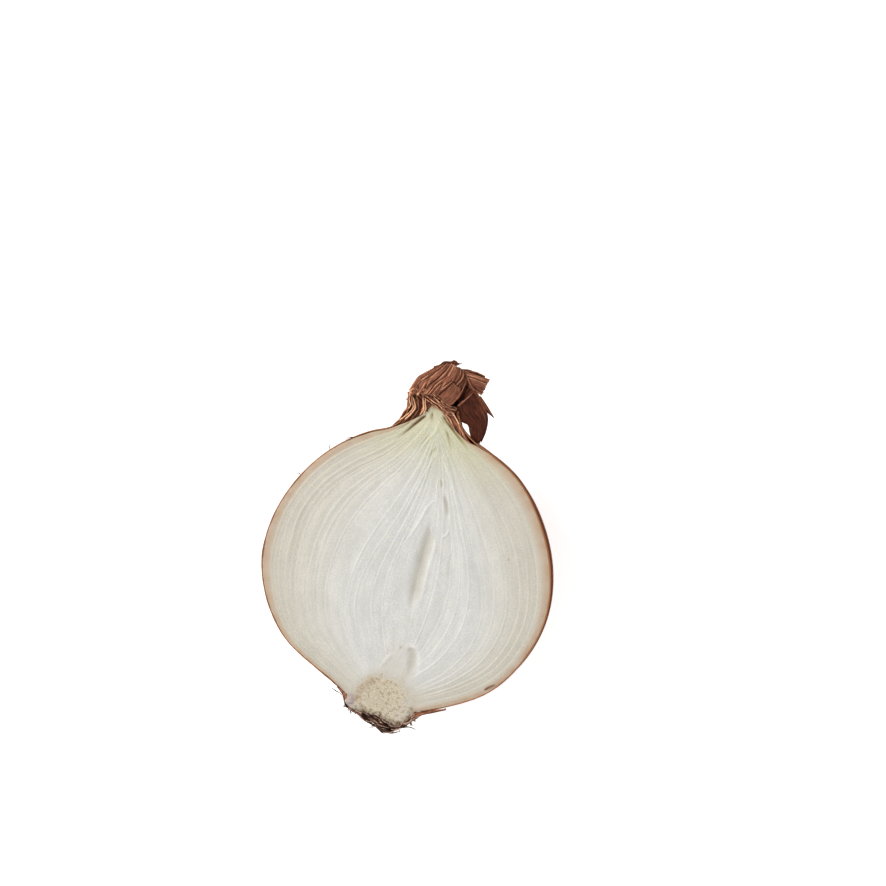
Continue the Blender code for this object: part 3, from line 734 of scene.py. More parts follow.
def flesh_light(tree, surface, streak, cloud, cells, seam_strength):
    """How light the flesh is: each scale has its own tone, and its seams and cells show; the flesh beside
    the seams, in the slits and in the bud hollow gets painted shade, and the ridges a painted highlight.
    """
    layer_number = sums(tree, "FLOOR", add(tree, "ShaderNodeSeparateXYZ", {0: surface}).outputs[0])
    tone = add(tree, "ShaderNodeTexWhiteNoise", {"W": layer_number}, noise_dimensions="1D").outputs["Value"]
    soft = noise(tree, stretched(tree, surface, (2.2, 5.0, 1.0)), 1.0, 3.0, 0.6)
    patch = noise(tree, stretched(tree, surface, (1.0, 7.0, 1.0)), 1.0, 2.0)
    seam = value_of(tree, "seam")
    clear = times(tree, spread(tree, patch, 0.36, 0.6, 0.15, 1.0), seam_strength)
    line = times(tree, spread(tree, seam, 0.06, 0.50, 1.0, 0.0), clear)
    # Painted shade: the flesh is darkened within a millimetre of each seam
    painted_seam_shade = times(tree, spread(tree, seam, 0.15, 1.0, 1.0, 0.0), clear)
    light = times(
        tree, spread(tree, soft, 0.3, 0.7, 0.94, 1.03), spread(tree, tone, 0.0, 1.0, 0.965, 1.025),
        spread(tree, streak, 0.35, 0.65, 0.975, 1.015), spread(tree, cloud, 0.3, 0.7, 0.975, 1.02),
        sums(tree, "MULTIPLY_ADD", painted_seam_shade, -0.06, 1.0),
    )
    # The seam lines are lighter; the slits and the bud hollow are darkened, painted shade; the ridges are
    # lightened, a painted highlight
    for mark, change in ((line, 0.09), (value_of(tree, "painted_hollow_shade"), -0.04), (value_of(tree, "ridge"), 0.09)):
        light = sums(tree, "MULTIPLY_ADD", mark, change, light)
    light = times(tree, light, spread(tree, cells, 0.34, 0.66, 0.885, 1.085))
    return add(tree, "ShaderNodeCombineColor", {0: light, 1: light, 2: light}).outputs[0]


def plate_colour(tree, colour, deep, speck, plate_tint):
    """Turns the flesh round the bud yellowish and the root plate corky, with brown and pale grains."""
    bud = tinted(tree, colour, (marked(tree, "plate", 0.4), (0.56, 0.50, 0.40)))
    cork = tinted(
        tree, rgb(plate_tint), (spread(tree, speck, 0.50, 0.60), (0.93, 0.90, 0.78)),
        (times(tree, spread(tree, deep, 0.50, 0.66), 0.85), (0.46, 0.34, 0.19)),
    )
    reach = sums(tree, "MULTIPLY_ADD", deep, 0.9, sums(tree, "SUBTRACT", value_of(tree, "grain"), 0.45))
    return blend_colours(tree, spread(tree, reach, 0.10, 1.0, 0.0, 0.95), bud, cork)


def flesh_material(settings):
    made, tree, shader = node_material("onion_flesh")
    surface, place = surface_map(tree), object_place(tree)
    streak = noise(tree, stretched(tree, surface, (9.0, 2.6, 1.0)), 1.0, 4.0, 0.65)
    rim_patch = noise(tree, stretched(tree, surface, (0.0, 30.0, 0.0)), 1.0, 3.0)
    wet = noise(tree, stretched(tree, surface, (14.0, 40.0, 1.0)), 1.0, 4.0, 0.6)
    cloud = noise(tree, place, 320.0, 3.0, 0.6)
    deep = noise(tree, place, 1100.0, 4.0, 0.7)
    speck = noise(tree, place, 2600.0, 3.0, 0.7)
    cells = noise(tree, place, 3000.0, 3.0, 0.75)
    colour = tinted(
        tree, rgb(settings.centre_tint),
        (spread(tree, value_of(tree, "way"), 0.35, 0.9), settings.side_tint),
        (marked(tree, "green", spread(tree, streak, 0.38, 0.62, 0.35, 1.0)), settings.neck_tint),
    )
    light = flesh_light(tree, surface, streak, cloud, cells, settings.seam_strength)
    colour = tinted(
        tree, blend_colours(tree, 1.0, colour, light, "MULTIPLY"),
        # painted shade in the slits and the bud hollow, warm tan
        (marked(tree, "painted_hollow_shade", 0.5), (0.44, 0.40, 0.30)),
        (marked(tree, "olive", spread(tree, streak, 0.35, 0.6, 0.2, 0.65)), (0.40, 0.37, 0.16)),
    )
    colour = tinted(
        tree, plate_colour(tree, colour, deep, speck, settings.plate_tint),
        (marked(tree, "arc", spread(tree, deep, 0.36, 0.60, 0.25, 0.75)), (0.46, 0.33, 0.19)),
        (marked(tree, "scorch", spread(tree, deep, 0.36, 0.58, 0.35, 1.0)), (0.17, 0.095, 0.035)),
        (marked(tree, "knob", spread(tree, cloud, 0.35, 0.65, 0.7, 0.95)), (0.47, 0.375, 0.345)),
        (marked(tree, "rim", spread(tree, rim_patch, 0.3, 0.7, 0.7, 1.0)), settings.rim_tint),
        (marked(tree, "stain", 0.85), (0.30, 0.15, 0.045)),
    )
    grain_height = times(tree, speck, value_of(tree, "grain"))
    feed(tree, shader, {
        "Base Color": colour, "Roughness": spread(tree, cells, 0.3, 0.7, 0.34, 0.56),
        "Subsurface Weight": 0.4, "Subsurface Radius": (1.0, 0.85, 0.6), "Subsurface Scale": 0.0015,
        "Specular IOR Level": 0.45,
        "Normal": bumps(tree, (wet, 0.00018, 0.45), (grain_height, 0.0011, 1.0), (cells, 0.00016, 0.5)),
    })
    return made


# The dry skin

SKIN_ROWS = 190
SKIN_COLUMNS = 150
SKIN_GIRTH = 126.0         # lengths of the skin's surface map, round the bulb and along it
SKIN_RUN = 115.0
SKIN_SHINE = 0.25
SKIN_MIDDLE = np.array([0.0, 2.0, CUT - 8.0])     # a point inside the bulb
TEAR_DEPTHS = (0.022, 0.008)      # broad and fine rags at the root end, as shares of the skin's length


def skin_tear(turns):
    """How far the skin's root end is torn back, as a share of its length."""
    rag = 0.5 + 0.5 * rumple(turns * 26, 0.0, 7)
    fine = 0.5 + 0.5 * rumple(turns * 90, 3.0, 7)
    inside = step_up(turns, 0.0, 0.05) * step_up(turns, 1.0, 0.95)
    return inside * (TEAR_DEPTHS[0] * rag + TEAR_DEPTHS[1] * fine)


def skin_points():
    """Points of the smooth skin, with the share and the turn of each."""
    turns = np.arange(SKIN_COLUMNS + 1) / SKIN_COLUMNS
    up = np.arange(SKIN_ROWS + 1)[:, None] / SKIN_ROWS
    tear = skin_tear(turns)[None, :]
    shares = tear + (1 - tear) * up
    left, right = smooth_curve(SKIN_LEFT)(shares), smooth_curve(SKIN_RIGHT)(shares)
    tuck = BRIM_TUCK * step_up(turns, 0.96, 1.0) * step_up(shares, 0.17, 0.31) * step_up(shares, 0.80, 0.66)
    across = (left - right) / np.linalg.norm(left - right, axis=2, keepdims=True)
    points = underside(left, right + across * tuck[..., None], turns)
    return points, shares, np.broadcast_to(turns, shares.shape)


def skin_relief(shares, turns):
    """Folds and puckers of the skin, outwards, in millimetres."""
    neck = step_up(shares, 0.86, 0.98)
    folds = rumple(turns * 21, shares * 7, 11) * 0.5 + rumple(turns * 43, shares * 9, 12) * 0.2
    height = neck * np.maximum(folds, -0.12)
    height = height + 0.13 * rumple(turns * 7, shares * 5, 13) + 0.05 * rumple(turns * 30, shares * 5, 14)
    root = step_up(shares, 0.07, 0.0)
    curl = step_up(shares, 0.035, 0.0) * np.clip(0.35 + rumple(turns * 19, 1.0, 15), 0.0, 1.2)
    height = height + root * 0.22 * rumple(turns * 34, shares * 30, 16) + 0.55 * curl
    ridge = np.abs(rumple(turns * 16, shares * 1.6, 17))
    return height + 0.10 * step_up(ridge, 0.10, 0.0)


def make_skin(settings):
    points, shares, turns = skin_points()
    normals = grid_normals(points)
    normals *= np.sign(np.sum(normals * (points - SKIN_MIDDLE), axis=2, keepdims=True))
    rest = step_up(points[..., 2], 0.3, 4.0)
    rim = step_up(turns, 0.0, 0.03) * step_up(turns, 1.0, 0.97)
    relief = skin_relief(shares, turns) * rest * (0.35 + 0.65 * rim)
    outer = points + normals * relief[..., None]
    outer[..., 2] = np.maximum(outer[..., 2], 0.0)
    inner = outer - normals * (settings.thickness / MM)
    wave = 0.16 * rumple(shares * 70, turns * 2, 18) + 0.10 * rumple(shares * 160, turns * 2, 19)
    lift = (1 - rim) * wave
    for grid in (outer, inner):
        grid[..., 2] += lift
    uv = np.stack([turns * SKIN_GIRTH, shares * SKIN_RUN], axis=2)
    values = {
        "root": step_up(shares, 0.12, 0.0),
        "neck": step_up(shares, 0.84, 0.97),
        "edge": 1 - step_up(turns, 0.0, 0.008) * step_up(turns, 1.0, 0.992),
        # Painted shade: the skin near the cut rims is darkened in the material
        "shaded_brim": 1 - step_up(turns, 0.01, 0.07) * step_up(turns, 0.99, 0.93),
    }
    piece = sheet_piece("papery_skin", outer, inner, uv, values)
    finish_piece(piece, "dry_skin", skin_material(settings))


def skin_material(settings):
    made, tree, shader = node_material("onion_dry_skin")
    surface = surface_map(tree)
    fibre = noise(tree, stretched(tree, surface, (3.2, 0.10, 1.0)), 1.0, 5.0, 0.62, 0.25)
    fine = noise(tree, stretched(tree, surface, (9.0, 0.22, 1.0)), 1.0, 3.0, 0.6)
    broad = noise(tree, stretched(tree, surface, (0.10, 0.05, 1.0)), 1.0, 3.0, 0.55, 0.4)
    spot = noise(tree, object_place(tree), 330.0, 2.0, 0.5)
    shaded_brim = value_of(tree, "shaded_brim")
    bare = sums(tree, "MULTIPLY_ADD", value_of(tree, "root"), -0.7, 0.8)
    colour = tinted(
        tree, rgb(settings.skin_tint), (spread(tree, fibre, 0.36, 0.70), settings.light_tint),
        (times(tree, spread(tree, broad, 0.45, 0.72), 0.62), settings.dark_tint),
        (times(tree, spread(tree, broad, 0.45, 0.28), 0.45), (0.38, 0.185, 0.115)),
        (times(tree, spread(tree, fine, 0.5, 0.72), 0.4), settings.dark_tint),
        (marked(tree, "root", 0.75), (0.17, 0.080, 0.048)),
        (marked(tree, "neck", 0.5), (0.26, 0.105, 0.05)),
        (times(tree, spread(tree, spot, 0.70, 0.78), 0.7), (0.07, 0.03, 0.018)),
        # painted shade near the cut rims
        (times(tree, shaded_brim, 0.9), (0.085, 0.024, 0.013)),
        # the paler cut edge: partly the skin's own colour there, partly a painted highlight
        (marked(tree, "edge", bare), (0.42, 0.18, 0.075)),
    )
    # The plain value holds for an export that can't read the link
    shader.inputs["Specular IOR Level"].default_value = SKIN_SHINE
    feed(tree, shader, {
        "Base Color": colour,
        "Roughness": sums(tree, "ADD", spread(tree, fine, 0.3, 0.7, 0.38, 0.54), times(tree, shaded_brim, 0.4)),
        "Specular IOR Level": spread(tree, shaded_brim, 0.0, 1.0, SKIN_SHINE, 0.0),
        "Normal": bumps(tree, (fibre, 0.00035, 0.45), (fine, 0.00012, 0.45)),
    })
    return made


# Thin fibres

FIBRE_SIDES = 7
FIBRE_RINGS = 26
FIBRE_TAPER = 0.75        # how much thinner a fibre's end is
FIBRE_LUMPS = 0.25
FIBRE_OVER = (0.12, 0.21, 1.0)     # a way that no fibre runs in


def make_fibres(name, fibres):
    """Thin crooked fibres in one mesh, from their paths, with heights over the cut, radii and tones."""
    up = np.arange(FIBRE_RINGS + 1) / FIBRE_RINGS
    angle = 2 * np.pi * np.arange(FIBRE_SIDES + 1) / FIBRE_SIDES
    count = len(up) * len(angle)
    points, faces, places = [], [], []
    for number, (path, radius, tone) in enumerate(fibres):
        run = smooth_curve(path)(up)
        run[:, 2] += CUT
        ahead = np.gradient(run, axis=0)
        ahead /= np.linalg.norm(ahead, axis=1, keepdims=True)
        side = np.cross(ahead, FIBRE_OVER)
        side /= np.linalg.norm(side, axis=1, keepdims=True)
        over = np.cross(side, ahead)
        size = radius * (1 - FIBRE_TAPER * up**3) * (1 + FIBRE_LUMPS * rumple(up * 9, number, 401))
        size[0] = size[-1] = radius * 0.05
        ring = side[:, None] * np.cos(angle)[None, :, None] + over[:, None] * np.sin(angle)[None, :, None]
        points.append((run[:, None] + ring * size[:, None, None]).reshape(-1, 3))
        first = number * count
        last = first + count - len(angle)
        faces += grid_quads(len(up), len(angle), first)
        faces += [list(range(first, first + FIBRE_SIDES)), list(range(last, last + FIBRE_SIDES))[::-1]]
        place = np.broadcast_arrays(angle[None] * radius, up[:, None] * 8.0)
        places.append(np.stack(place, axis=2).reshape(-1, 2))
    tones = np.repeat([tone for path, radius, tone in fibres], count)
    # The palest fibres get a cream colour in the leaf material, a painted highlight
    bare = step_up(tones, 0.8, 1.0)
    values = {"tone": tones, "fold_shading": 0.45 + 0.65 * bare, "edge": bare}
    return mesh_piece(name, np.concatenate(points), faces, np.concatenate(places), values, FIBRE_WELD)


# The neck

CONE_ROWS = 40
CONE_COLUMNS = 84
CUT_LEAVES = [      # the two edges of each cut-through leaf, from the bulb up, and its tone
    ([(-13.0, 38.9), (-10.9, 40.2), (-9.2, 42.0), (-8.1, 43.7), (-7.2, 45.4), (-7.3, 46.8), (-7.9, 50.1)],
     [(13.0, 39.0), (10.2, 40.5), (8.8, 42.0), (7.9, 44.0), (6.4, 46.7), (5.4, 48.7)], 0.32),
    ([(-10.6, 39.9), (-8.0, 42.4), (-6.3, 44.6), (-5.7, 46.2), (-6.3, 48.0), (-7.3, 50.5)],
     [(11.6, 39.2), (8.8, 41.4), (6.9, 43.9), (5.2, 46.0), (3.6, 49.1)], 0.55),
    ([(-8.0, 41.3), (-5.9, 43.2), (-4.5, 45.0), (-4.7, 47.2), (-5.9, 50.7)],
     [(9.8, 39.9), (7.6, 42.0), (5.7, 44.2), (4.0, 46.4), (1.8, 49.9)], 0.30),
    ([(-5.4, 42.7), (-3.9, 43.9), (-3.1, 45.5), (-3.5, 48.3), (-4.5, 51.1)],
     [(6.6, 42.4), (4.4, 44.6), (2.6, 46.6), (0.2, 50.3)], 0.60),
    ([(-3.2, 44.7), (-2.3, 46.0), (-2.3, 48.4), (-2.8, 51.1)],
     [(3.6, 45.1), (1.9, 47.1), (0.2, 48.9), (-1.0, 50.7)], 0.35),
]
LEAF_TUCK = 0.45          # how far the lower end of a cut-through leaf is tucked in
LEAF_DROP = 0.9           # how far that end reaches down under the shoulder of the skin
LEAF_DRAW = 1.2           # how far the leaves draw in under the skin, away from the cut
RIM_SINK = 0.95           # how far that end's rim lies under the cut face


def make_cut_leaf(number, settings):
    """An inner dry leaf, cut through like the bulb: half a crinkled cone of paper."""
    left, right, tone = CUT_LEAVES[number]
    seed = 40 + 5 * number
    shares = np.arange(CONE_ROWS + 1) / CONE_ROWS
    turns = np.arange(CONE_COLUMNS + 1) / CONE_COLUMNS
    up, round_it = shares[:, None], turns[None, :]
    left, right = smooth_curve(left)(shares), smooth_curve(right)(shares)
    across = (right - left) / np.linalg.norm(right - left, axis=1, keepdims=True)
    tuck = LEAF_TUCK * step_up(up, 0.35, 0.0)
    grid = underside((left + across * tuck)[:, None], (right - across * tuck)[:, None], turns)
    normals = grid_normals(grid)
    crinkle = 0.42 * rumple(round_it * 13, up * 2.5, seed) + 0.20 * rumple(round_it * 31, up * 5, seed + 1)
    crinkle = crinkle * step_up(up, 0.0, 0.35)
    wave = 0.20 * rumple(up * 9, round_it * 2, seed + 2) * step_up(up, 0.05, 0.4)
    drawn = LEAF_DRAW * step_up(round_it, 0.0, 0.12) * step_up(round_it, 1.0, 0.88) * step_up(up, 1.0, 0.7)
    inner = grid + normals * (crinkle + wave - drawn)[..., None]
    inner[..., 1] -= LEAF_DROP * step_up(up, 0.40, 0.0)
    rim = step_up(round_it, 0.07, 0.0) + step_up(round_it, 0.93, 1.0)
    rise = rim * (0.40 * rumple(up * 17, round_it, seed + 3) - 0.15)
    inner[..., 2] += rise - RIM_SINK * step_up(up, 0.35, 0.0)
    outer = inner + normals * (settings.cut_leaf / MM)
    uv = np.stack(np.broadcast_arrays(round_it * 24, up * 11), axis=2)
    # Painted shade and highlight: the crinkles are darker in their hollows and paler on their crests
    values = {"fold_shading": 0.45 + 0.8 * crinkle, "edge": rim + 0 * crinkle, "tone": tone + 0 * crinkle}
    return sheet_piece(f"cut_leaf_{number + 1}", inner, outer, uv, values)


def leaf(first, second, bulge=1.0, ribs=0.55, rib_depth=0.2, streaks=1.0, crumple=0.25, tear=0.05,
         rags=7, wave=0.0, facing=(0, 0, 1), tone=0.5, seed=1):
    """A dried leaf between two edges, whose points are x, y and the height over the cut."""
    return {
        "first": first, "second": second, "bulge": bulge, "ribs": ribs, "rib_depth": rib_depth,
        "streaks": streaks, "crumple": crumple, "tear": tear, "rags": rags, "wave": wave,
        "facing": facing, "tone": tone, "seed": seed,
    }


NECK_LEAVES = {
    "ribbed_wrap": leaf(
        [(-7.5, 50.5, 0.8), (-6.3, 54.0, 1.0), (-5.0, 55.4, 1.0), (-4.0, 56.4, 1.0), (-2.7, 57.5, 1.0),
         (-1.2, 58.8, 1.0), (0.1, 59.8, 0.8)],
        [(-0.0, 50.7, 3.0), (2.1, 53.3, 3.6), (3.6, 55.5, 3.6), (4.2, 57.6, 2.8), (3.8, 59.6, 1.4)],
        bulge=0.9, ribs=0.62, rib_depth=0.50, tear=0.07, tone=0.66, seed=61,
    ),
    "smooth_fold": leaf(
        [(0.1, 51.1, 3.3), (2.2, 53.4, 4.1), (3.8, 55.2, 4.1)],
        [(3.8, 48.7, 2.3), (5.4, 50.5, 3.0), (6.1, 52.1, 3.3), (6.0, 54.0, 3.4)],
        bulge=0.35, ribs=0.8, rib_depth=0.05, streaks=0.4, crumple=0.12, tear=0.05, tone=0.58, seed=71,
    ),
    "upper_fold": leaf(
        [(3.4, 55.6, 3.7), (3.9, 57.7, 3.2), (3.9, 59.4, 1.6)],
        [(6.0, 53.5, 2.9), (7.3, 55.4, 2.6), (6.7, 57.1, 2.0), (5.3, 58.8, 1.2)],
        bulge=0.5, ribs=0.45, rib_depth=0.28, tear=0.06, tone=0.34, seed=76,
    ),
    "hollow_fold": leaf(
        [(5.6, 51.3, 2.2), (6.1, 53.0, 2.0), (7.1, 55.6, 2.3)],
        [(6.1, 48.8, 1.4), (7.9, 51.5, 2.6), (9.7, 54.0, 2.6)],
        bulge=-0.9, ribs=0.5, rib_depth=0.2, tear=0.03, tone=0.14, seed=79,
    ),
    "right_end": leaf(
        [(5.2, 58.7, 1.2), (9.1, 58.1, 1.8), (13.2, 57.6, 0.4)],
        [(6.8, 55.2, 1.6), (9.4, 53.9, 2.0), (11.7, 52.8, 0.6)],
        bulge=0.6, ribs=0.5, rib_depth=0.26, tear=0.06, tone=0.58, seed=81,
    ),
    "side_tip": leaf(
        [(5.3, 58.9, 0.4), (7.2, 59.1, 0.8), (9.1, 58.6, 0.5)],
        [(5.3, 57.4, 0.8), (7.3, 57.4, 1.2), (8.9, 57.9, 0.7)],
        bulge=0.3, tear=0.1, tone=0.18, seed=86,
    ),
    "hanging_flap": leaf(
        [(5.3, 48.9, 0.6), (5.9, 46.4, -0.5), (7.5, 44.7, -0.7), (9.3, 44.1, -0.5), (10.1, 42.3, -0.8),
         (11.0, 40.6, -1.3), (13.1, 39.3, -1.7)],
        [(9.7, 54.2, 2.3), (12.4, 51.5, 1.6), (14.4, 47.6, 0.4), (14.5, 43.4, -0.6), (13.5, 39.4, -1.8)],
        bulge=0.9, ribs=0.5, rib_depth=0.13, streaks=0.55, crumple=0.38, tear=0.10, rags=9, tone=0.08,
        seed=91,
    ),
    "side_point": leaf(
        [(11.4, 52.9, 1.3), (13.9, 50.3, 1.0), (16.1, 47.6, 0.4)],
        [(11.2, 51.2, 1.6), (13.2, 49.2, 1.0), (14.7, 48.2, 0.6), (16.1, 47.4, 0.4)],
        bulge=0.3, ribs=0.5, rib_depth=0.14, crumple=0.15, tear=0.02, tone=0.12, seed=101,
    ),
    "top_tip": leaf(
        [(-2.5, 58.1, 0.7), (-1.6, 58.6, 0.8), (-1.0, 58.8, 0.8), (-0.1, 59.9, 1.0), (0.9, 60.2, 1.1),
         (1.9, 60.3, 1.1), (2.6, 60.9, 1.1), (3.3, 60.8, 1.1), (3.9, 60.4, 1.0), (5.3, 60.5, 1.0)],
        [(-2.2, 57.6, 1.0), (-0.4, 58.5, 1.2), (1.5, 59.4, 1.6), (2.7, 59.7, 1.6), (3.5, 59.4, 1.4),
         (4.1, 60.0, 1.2), (5.0, 60.1, 1.0)],
        bulge=0.2, ribs=0.5, rib_depth=0.18, tear=0.08, tone=0.16, seed=111,
    ),
    "under_wrap": leaf(
        [(-7.6, 49.8, -3.4), (-6.9, 52.2, -4.0), (-5.1, 54.8, -3.8), (-3.3, 56.5, -3.0), (-0.8, 58.6, -1.4)],
        [(5.5, 48.1, -4.2), (7.0, 52.3, -4.6), (6.8, 56.2, -3.4), (5.0, 58.6, -1.4)],
        bulge=2.0, ribs=0.7, rib_depth=0.3, facing=(0, 0, -1), tear=0.10, tone=0.45, seed=121,
    ),
    "left_wrap": leaf(
        [(-7.4, 50.4, 0.6), (-6.6, 52.6, 0.6), (-5.9, 54.0, 0.6), (-4.7, 55.3, 0.6), (-3.7, 56.2, 0.6),
         (-2.5, 57.3, 0.6), (-1.0, 58.6, 0.6)],
        [(-7.9, 50.0, -3.4), (-7.3, 52.1, -4.2), (-6.6, 53.5, -4.2), (-5.4, 54.9, -3.8), (-4.1, 56.0, -3.2),
         (-2.8, 57.1, -2.6), (-1.2, 58.6, -1.8)],
        bulge=0.3, ribs=1.2, rib_depth=0.16, facing=(-1, 0.3, 0), tear=0.08, tone=0.45, seed=131,
    ),
    "right_wrap": leaf(
        [(5.3, 47.9, -4.4), (6.6, 52.3, -5.0), (7.0, 56.4, -3.4)],
        [(6.0, 48.7, 1.5), (8.3, 52.5, 2.0), (8.2, 56.6, 1.3)],
        bulge=0.8, ribs=0.6, rib_depth=0.26, facing=(1, -0.2, 0), tear=0.08, tone=0.35, seed=141,
    ),
    "lower_end": leaf(
        [(4.8, 58.4, -0.6), (8.4, 58.7, -1.6), (11.7, 57.8, -2.0)],
        [(5.0, 53.4, -3.4), (8.3, 54.2, -3.8), (10.9, 54.4, -3.0)],
        bulge=0.7, ribs=0.6, rib_depth=0.22, facing=(0, 0.3, -1), tear=0.10, tone=0.40, seed=151,
    ),
}

# The knife's ragged line through the gathered leaves, from left to right
KNIFE_LINE = [
    (-7.6, 49.9), (-6.3, 51.5), (-4.8, 52.3), (-2.9, 51.8), (-0.7, 50.9), (1.4, 49.9), (3.5, 48.8),
    (5.7, 47.9),
]
KNIFE_RISE = [0.4, 1.8, 2.6, 3.1, 3.2, 2.9, 2.2, 1.2]     # how high the first paper edge stands along it
CUT_EDGES = 7
CUT_EDGE_STEP = (-0.12, -0.38, -0.36)     # from one paper edge to the next
CUT_EDGE_FOOT = -2.4
LEAF_STEP = (0.22, 0.09)      # size of a leaf's faces along and across it
LEAF_CELLS = (24, 150)        # fewest and most of them in a row
LEAF_SAMPLES = 12             # places at which a leaf's width and length are measured


def cut_edge(number):
    """One of the paper edges that stand side by side along the knife's line."""
    line = [(x + CUT_EDGE_STEP[0] * number, y + CUT_EDGE_STEP[1] * number) for x, y in KNIFE_LINE]
    top = [(x, y, high + CUT_EDGE_STEP[2] * number) for (x, y), high in zip(line, KNIFE_RISE)]
    bottom = [(x, y + 0.5, CUT_EDGE_FOOT) for x, y in line]
    return leaf(
        top, bottom, bulge=0.2, ribs=0.5, rib_depth=0.10, crumple=0.42, tear=0.0, wave=0.8,
        facing=(-0.3, -1, 0), tone=0.5 + 0.12 * (number % 3), seed=200 + 7 * number,
    )


def leaf_grid(shape):
    """Points of a dried leaf, its outward way, the painted shading of its ribs and crumples (dark grooves,
    pale crests), edge shares and places in millimetres.
    """
    first, second = smooth_curve(shape["first"]), smooth_curve(shape["second"])
    span = np.linspace(0, 1, LEAF_SAMPLES)
    middle_width = float(np.linalg.norm(second(span) - first(span), axis=1).mean())
    run = float(np.linalg.norm(np.diff((first(span) + second(span)) / 2, axis=0), axis=1).sum())
    rows, columns = (
        int(np.clip(size / step, *LEAF_CELLS)) for size, step in zip((run, middle_width), LEAF_STEP)
    )
    up = np.arange(rows + 1)[:, None] / rows
    across = np.arange(columns + 1)[None, :] / columns
    seed = shape["seed"]
    rag = 0.5 + 0.5 * rumple(across * shape["rags"], 0.0, seed) + 0.3 * rumple(across * 37, 1.0, seed)
    shares = np.clip(up * (1 - shape["tear"] * rag), 0.0, 1.0)
    near, far = first(shares), second(shares)
    base = near + (far - near) * across[..., None]
    way = grid_normals(base)
    way *= np.sign(np.sum(way * np.array(shape["facing"], float), axis=2, keepdims=True))
    width = np.linalg.norm(far - near, axis=2)
    x, along = (across - 0.5) * middle_width, up * run
    place = x / shape["ribs"] + 0.5 * rumple(along / 4, 0.0, seed + 4)
    ridge = np.clip(1 - 2.4 * np.abs(rumple(place, along / 9, seed + 2)), 0, 1)
    groove = np.clip(1 - 2.4 * np.abs(rumple(place + 0.42, along / 9, seed + 2)), 0, 1)
    crumple = rumple(x / 2.4 + 9, along / 3.2, seed + 5) + 0.4 * rumple(x / 0.9, along / 1.6, seed + 6)
    lift = shape["bulge"] * 4 * across * (1 - across) * width / middle_width
    lift = lift + shape["rib_depth"] * (ridge - groove) + shape["crumple"] * crumple
    points = base + way * lift[..., None]
    points[..., 2] += CUT + shape["wave"] * (1 - across) ** 2 * rumple(along / 0.55, 0.0, seed + 7)
    edge = step_up(np.abs(across - 0.5), 0.46, 0.5) + step_up(up, 0.95, 1.0)
    # Painted shade and highlight: grooves and crumple hollows are darker, rib crests paler
    fold_shading = 0.45 + shape["streaks"] * (0.6 * ridge - 0.5 * groove) + 0.12 * crumple
    return points, way, fold_shading, np.clip(edge, 0, 1), x, along


def make_leaf(name, shape, settings):
    """A dried leaf of paper from its shape."""
    points, way, fold_shading, edge, x, along = leaf_grid(shape)
    half = settings.paper / MM / 2
    uv = np.stack(np.broadcast_arrays(x, along), axis=2)
    values = {"fold_shading": fold_shading, "edge": edge, "tone": shape["tone"] + 0 * fold_shading}
    return sheet_piece(name, points + way * half, points - way * half, uv, values)


# Ribs and dark lines of the folded leaves: points with heights over the cut, the radius and the tone. The
# pale ones are ribs and cut edges whose palest tones are painted highlights; the darkest, tone 0, are dark
# lines laid in the gaps between leaves, painted shade.
LEAF_RIBS = [
    ([(-7.5, 49.1, 0.3), (-7.4, 50.2, 1.0), (-7.1, 50.9, 1.3), (-6.5, 51.4, 1.3)], 0.45, 0.9),
    ([(-6.9, 49.0, 0.6), (-6.5, 50.1, 1.6), (-5.8, 51.0, 2.0), (-5.0, 51.8, 2.0)], 0.34, 0.7),
    ([(-5.5, 49.7, 0.9), (-4.9, 50.7, 2.2), (-4.1, 51.4, 2.6)], 0.30, 0.95),
    ([(-4.0, 49.7, 1.2), (-3.2, 50.8, 2.7), (-2.4, 51.6, 3.0)], 0.30, 0.8),
    ([(6.1, 49.0, 2.3), (7.9, 51.2, 3.3), (9.7, 53.7, 3.3)], 0.26, 0.80),
    ([(9.8, 54.0, 3.2), (8.4, 55.4, 3.2), (7.2, 57.1, 2.9), (6.4, 58.1, 2.0)], 0.24, 0.70),
    ([(4.2, 49.0, 2.6), (6.1, 51.9, 3.9), (7.0, 55.2, 3.8), (7.1, 56.9, 3.1)], 0.22, 0.75),
    ([(0.4, 50.9, 3.5), (2.3, 53.1, 4.3), (4.1, 55.3, 4.3), (5.9, 53.9, 4.0)], 0.17, 0.0),
    ([(0.2, 51.4, 3.5), (2.2, 53.6, 4.4), (3.9, 55.6, 4.3)], 0.17, 0.80),
    ([(-7.8, 42.5, 0.1), (-6.2, 44.6, 0.5), (-5.5, 46.2, 0.6), (-6.0, 47.8, 0.6), (-6.8, 49.2, 0.8)],
     0.20, 1.0),
    ([(-4.0, 44.6, 0.3), (-3.2, 46.0, 0.5), (-3.4, 47.6, 0.6), (-4.0, 49.2, 0.8)], 0.20, 1.0),
    ([(7.1, 43.9, 0.4), (5.8, 45.6, 0.5), (3.9, 47.5, 0.6), (2.2, 48.9, 1.2)], 0.17, 1.0),
    ([(9.4, 40.8, 0.2), (8.2, 42.8, 0.4), (6.9, 45.1, 0.5), (5.8, 47.2, 0.8)], 0.17, 0.85),
    ([(-7.3, 45.6, 0.3), (-6.9, 46.7, 0.5), (-7.5, 48.1, 0.6), (-7.4, 49.3, 0.8)], 0.16, 1.0),
    ([(-3.0, 45.0, 0.4), (-2.6, 46.5, 0.6), (-3.1, 48.2, 0.7), (-3.1, 49.6, 0.9)], 0.15, 1.0),
    ([(-2.1, 45.6, 0.4), (-2.2, 47.6, 0.6), (-2.7, 49.2, 0.8)], 0.12, 0.0),
    ([(-9.2, 42.0, 0.2), (-7.3, 44.1, 0.4), (-6.1, 45.9, 0.6), (-5.8, 47.4, 0.7)], 0.14, 1.0),
    ([(-4.5, 43.9, 0.4), (-3.8, 46.1, 0.6), (-4.5, 47.9, 0.7), (-5.0, 49.3, 0.9)], 0.14, 0.0),
]

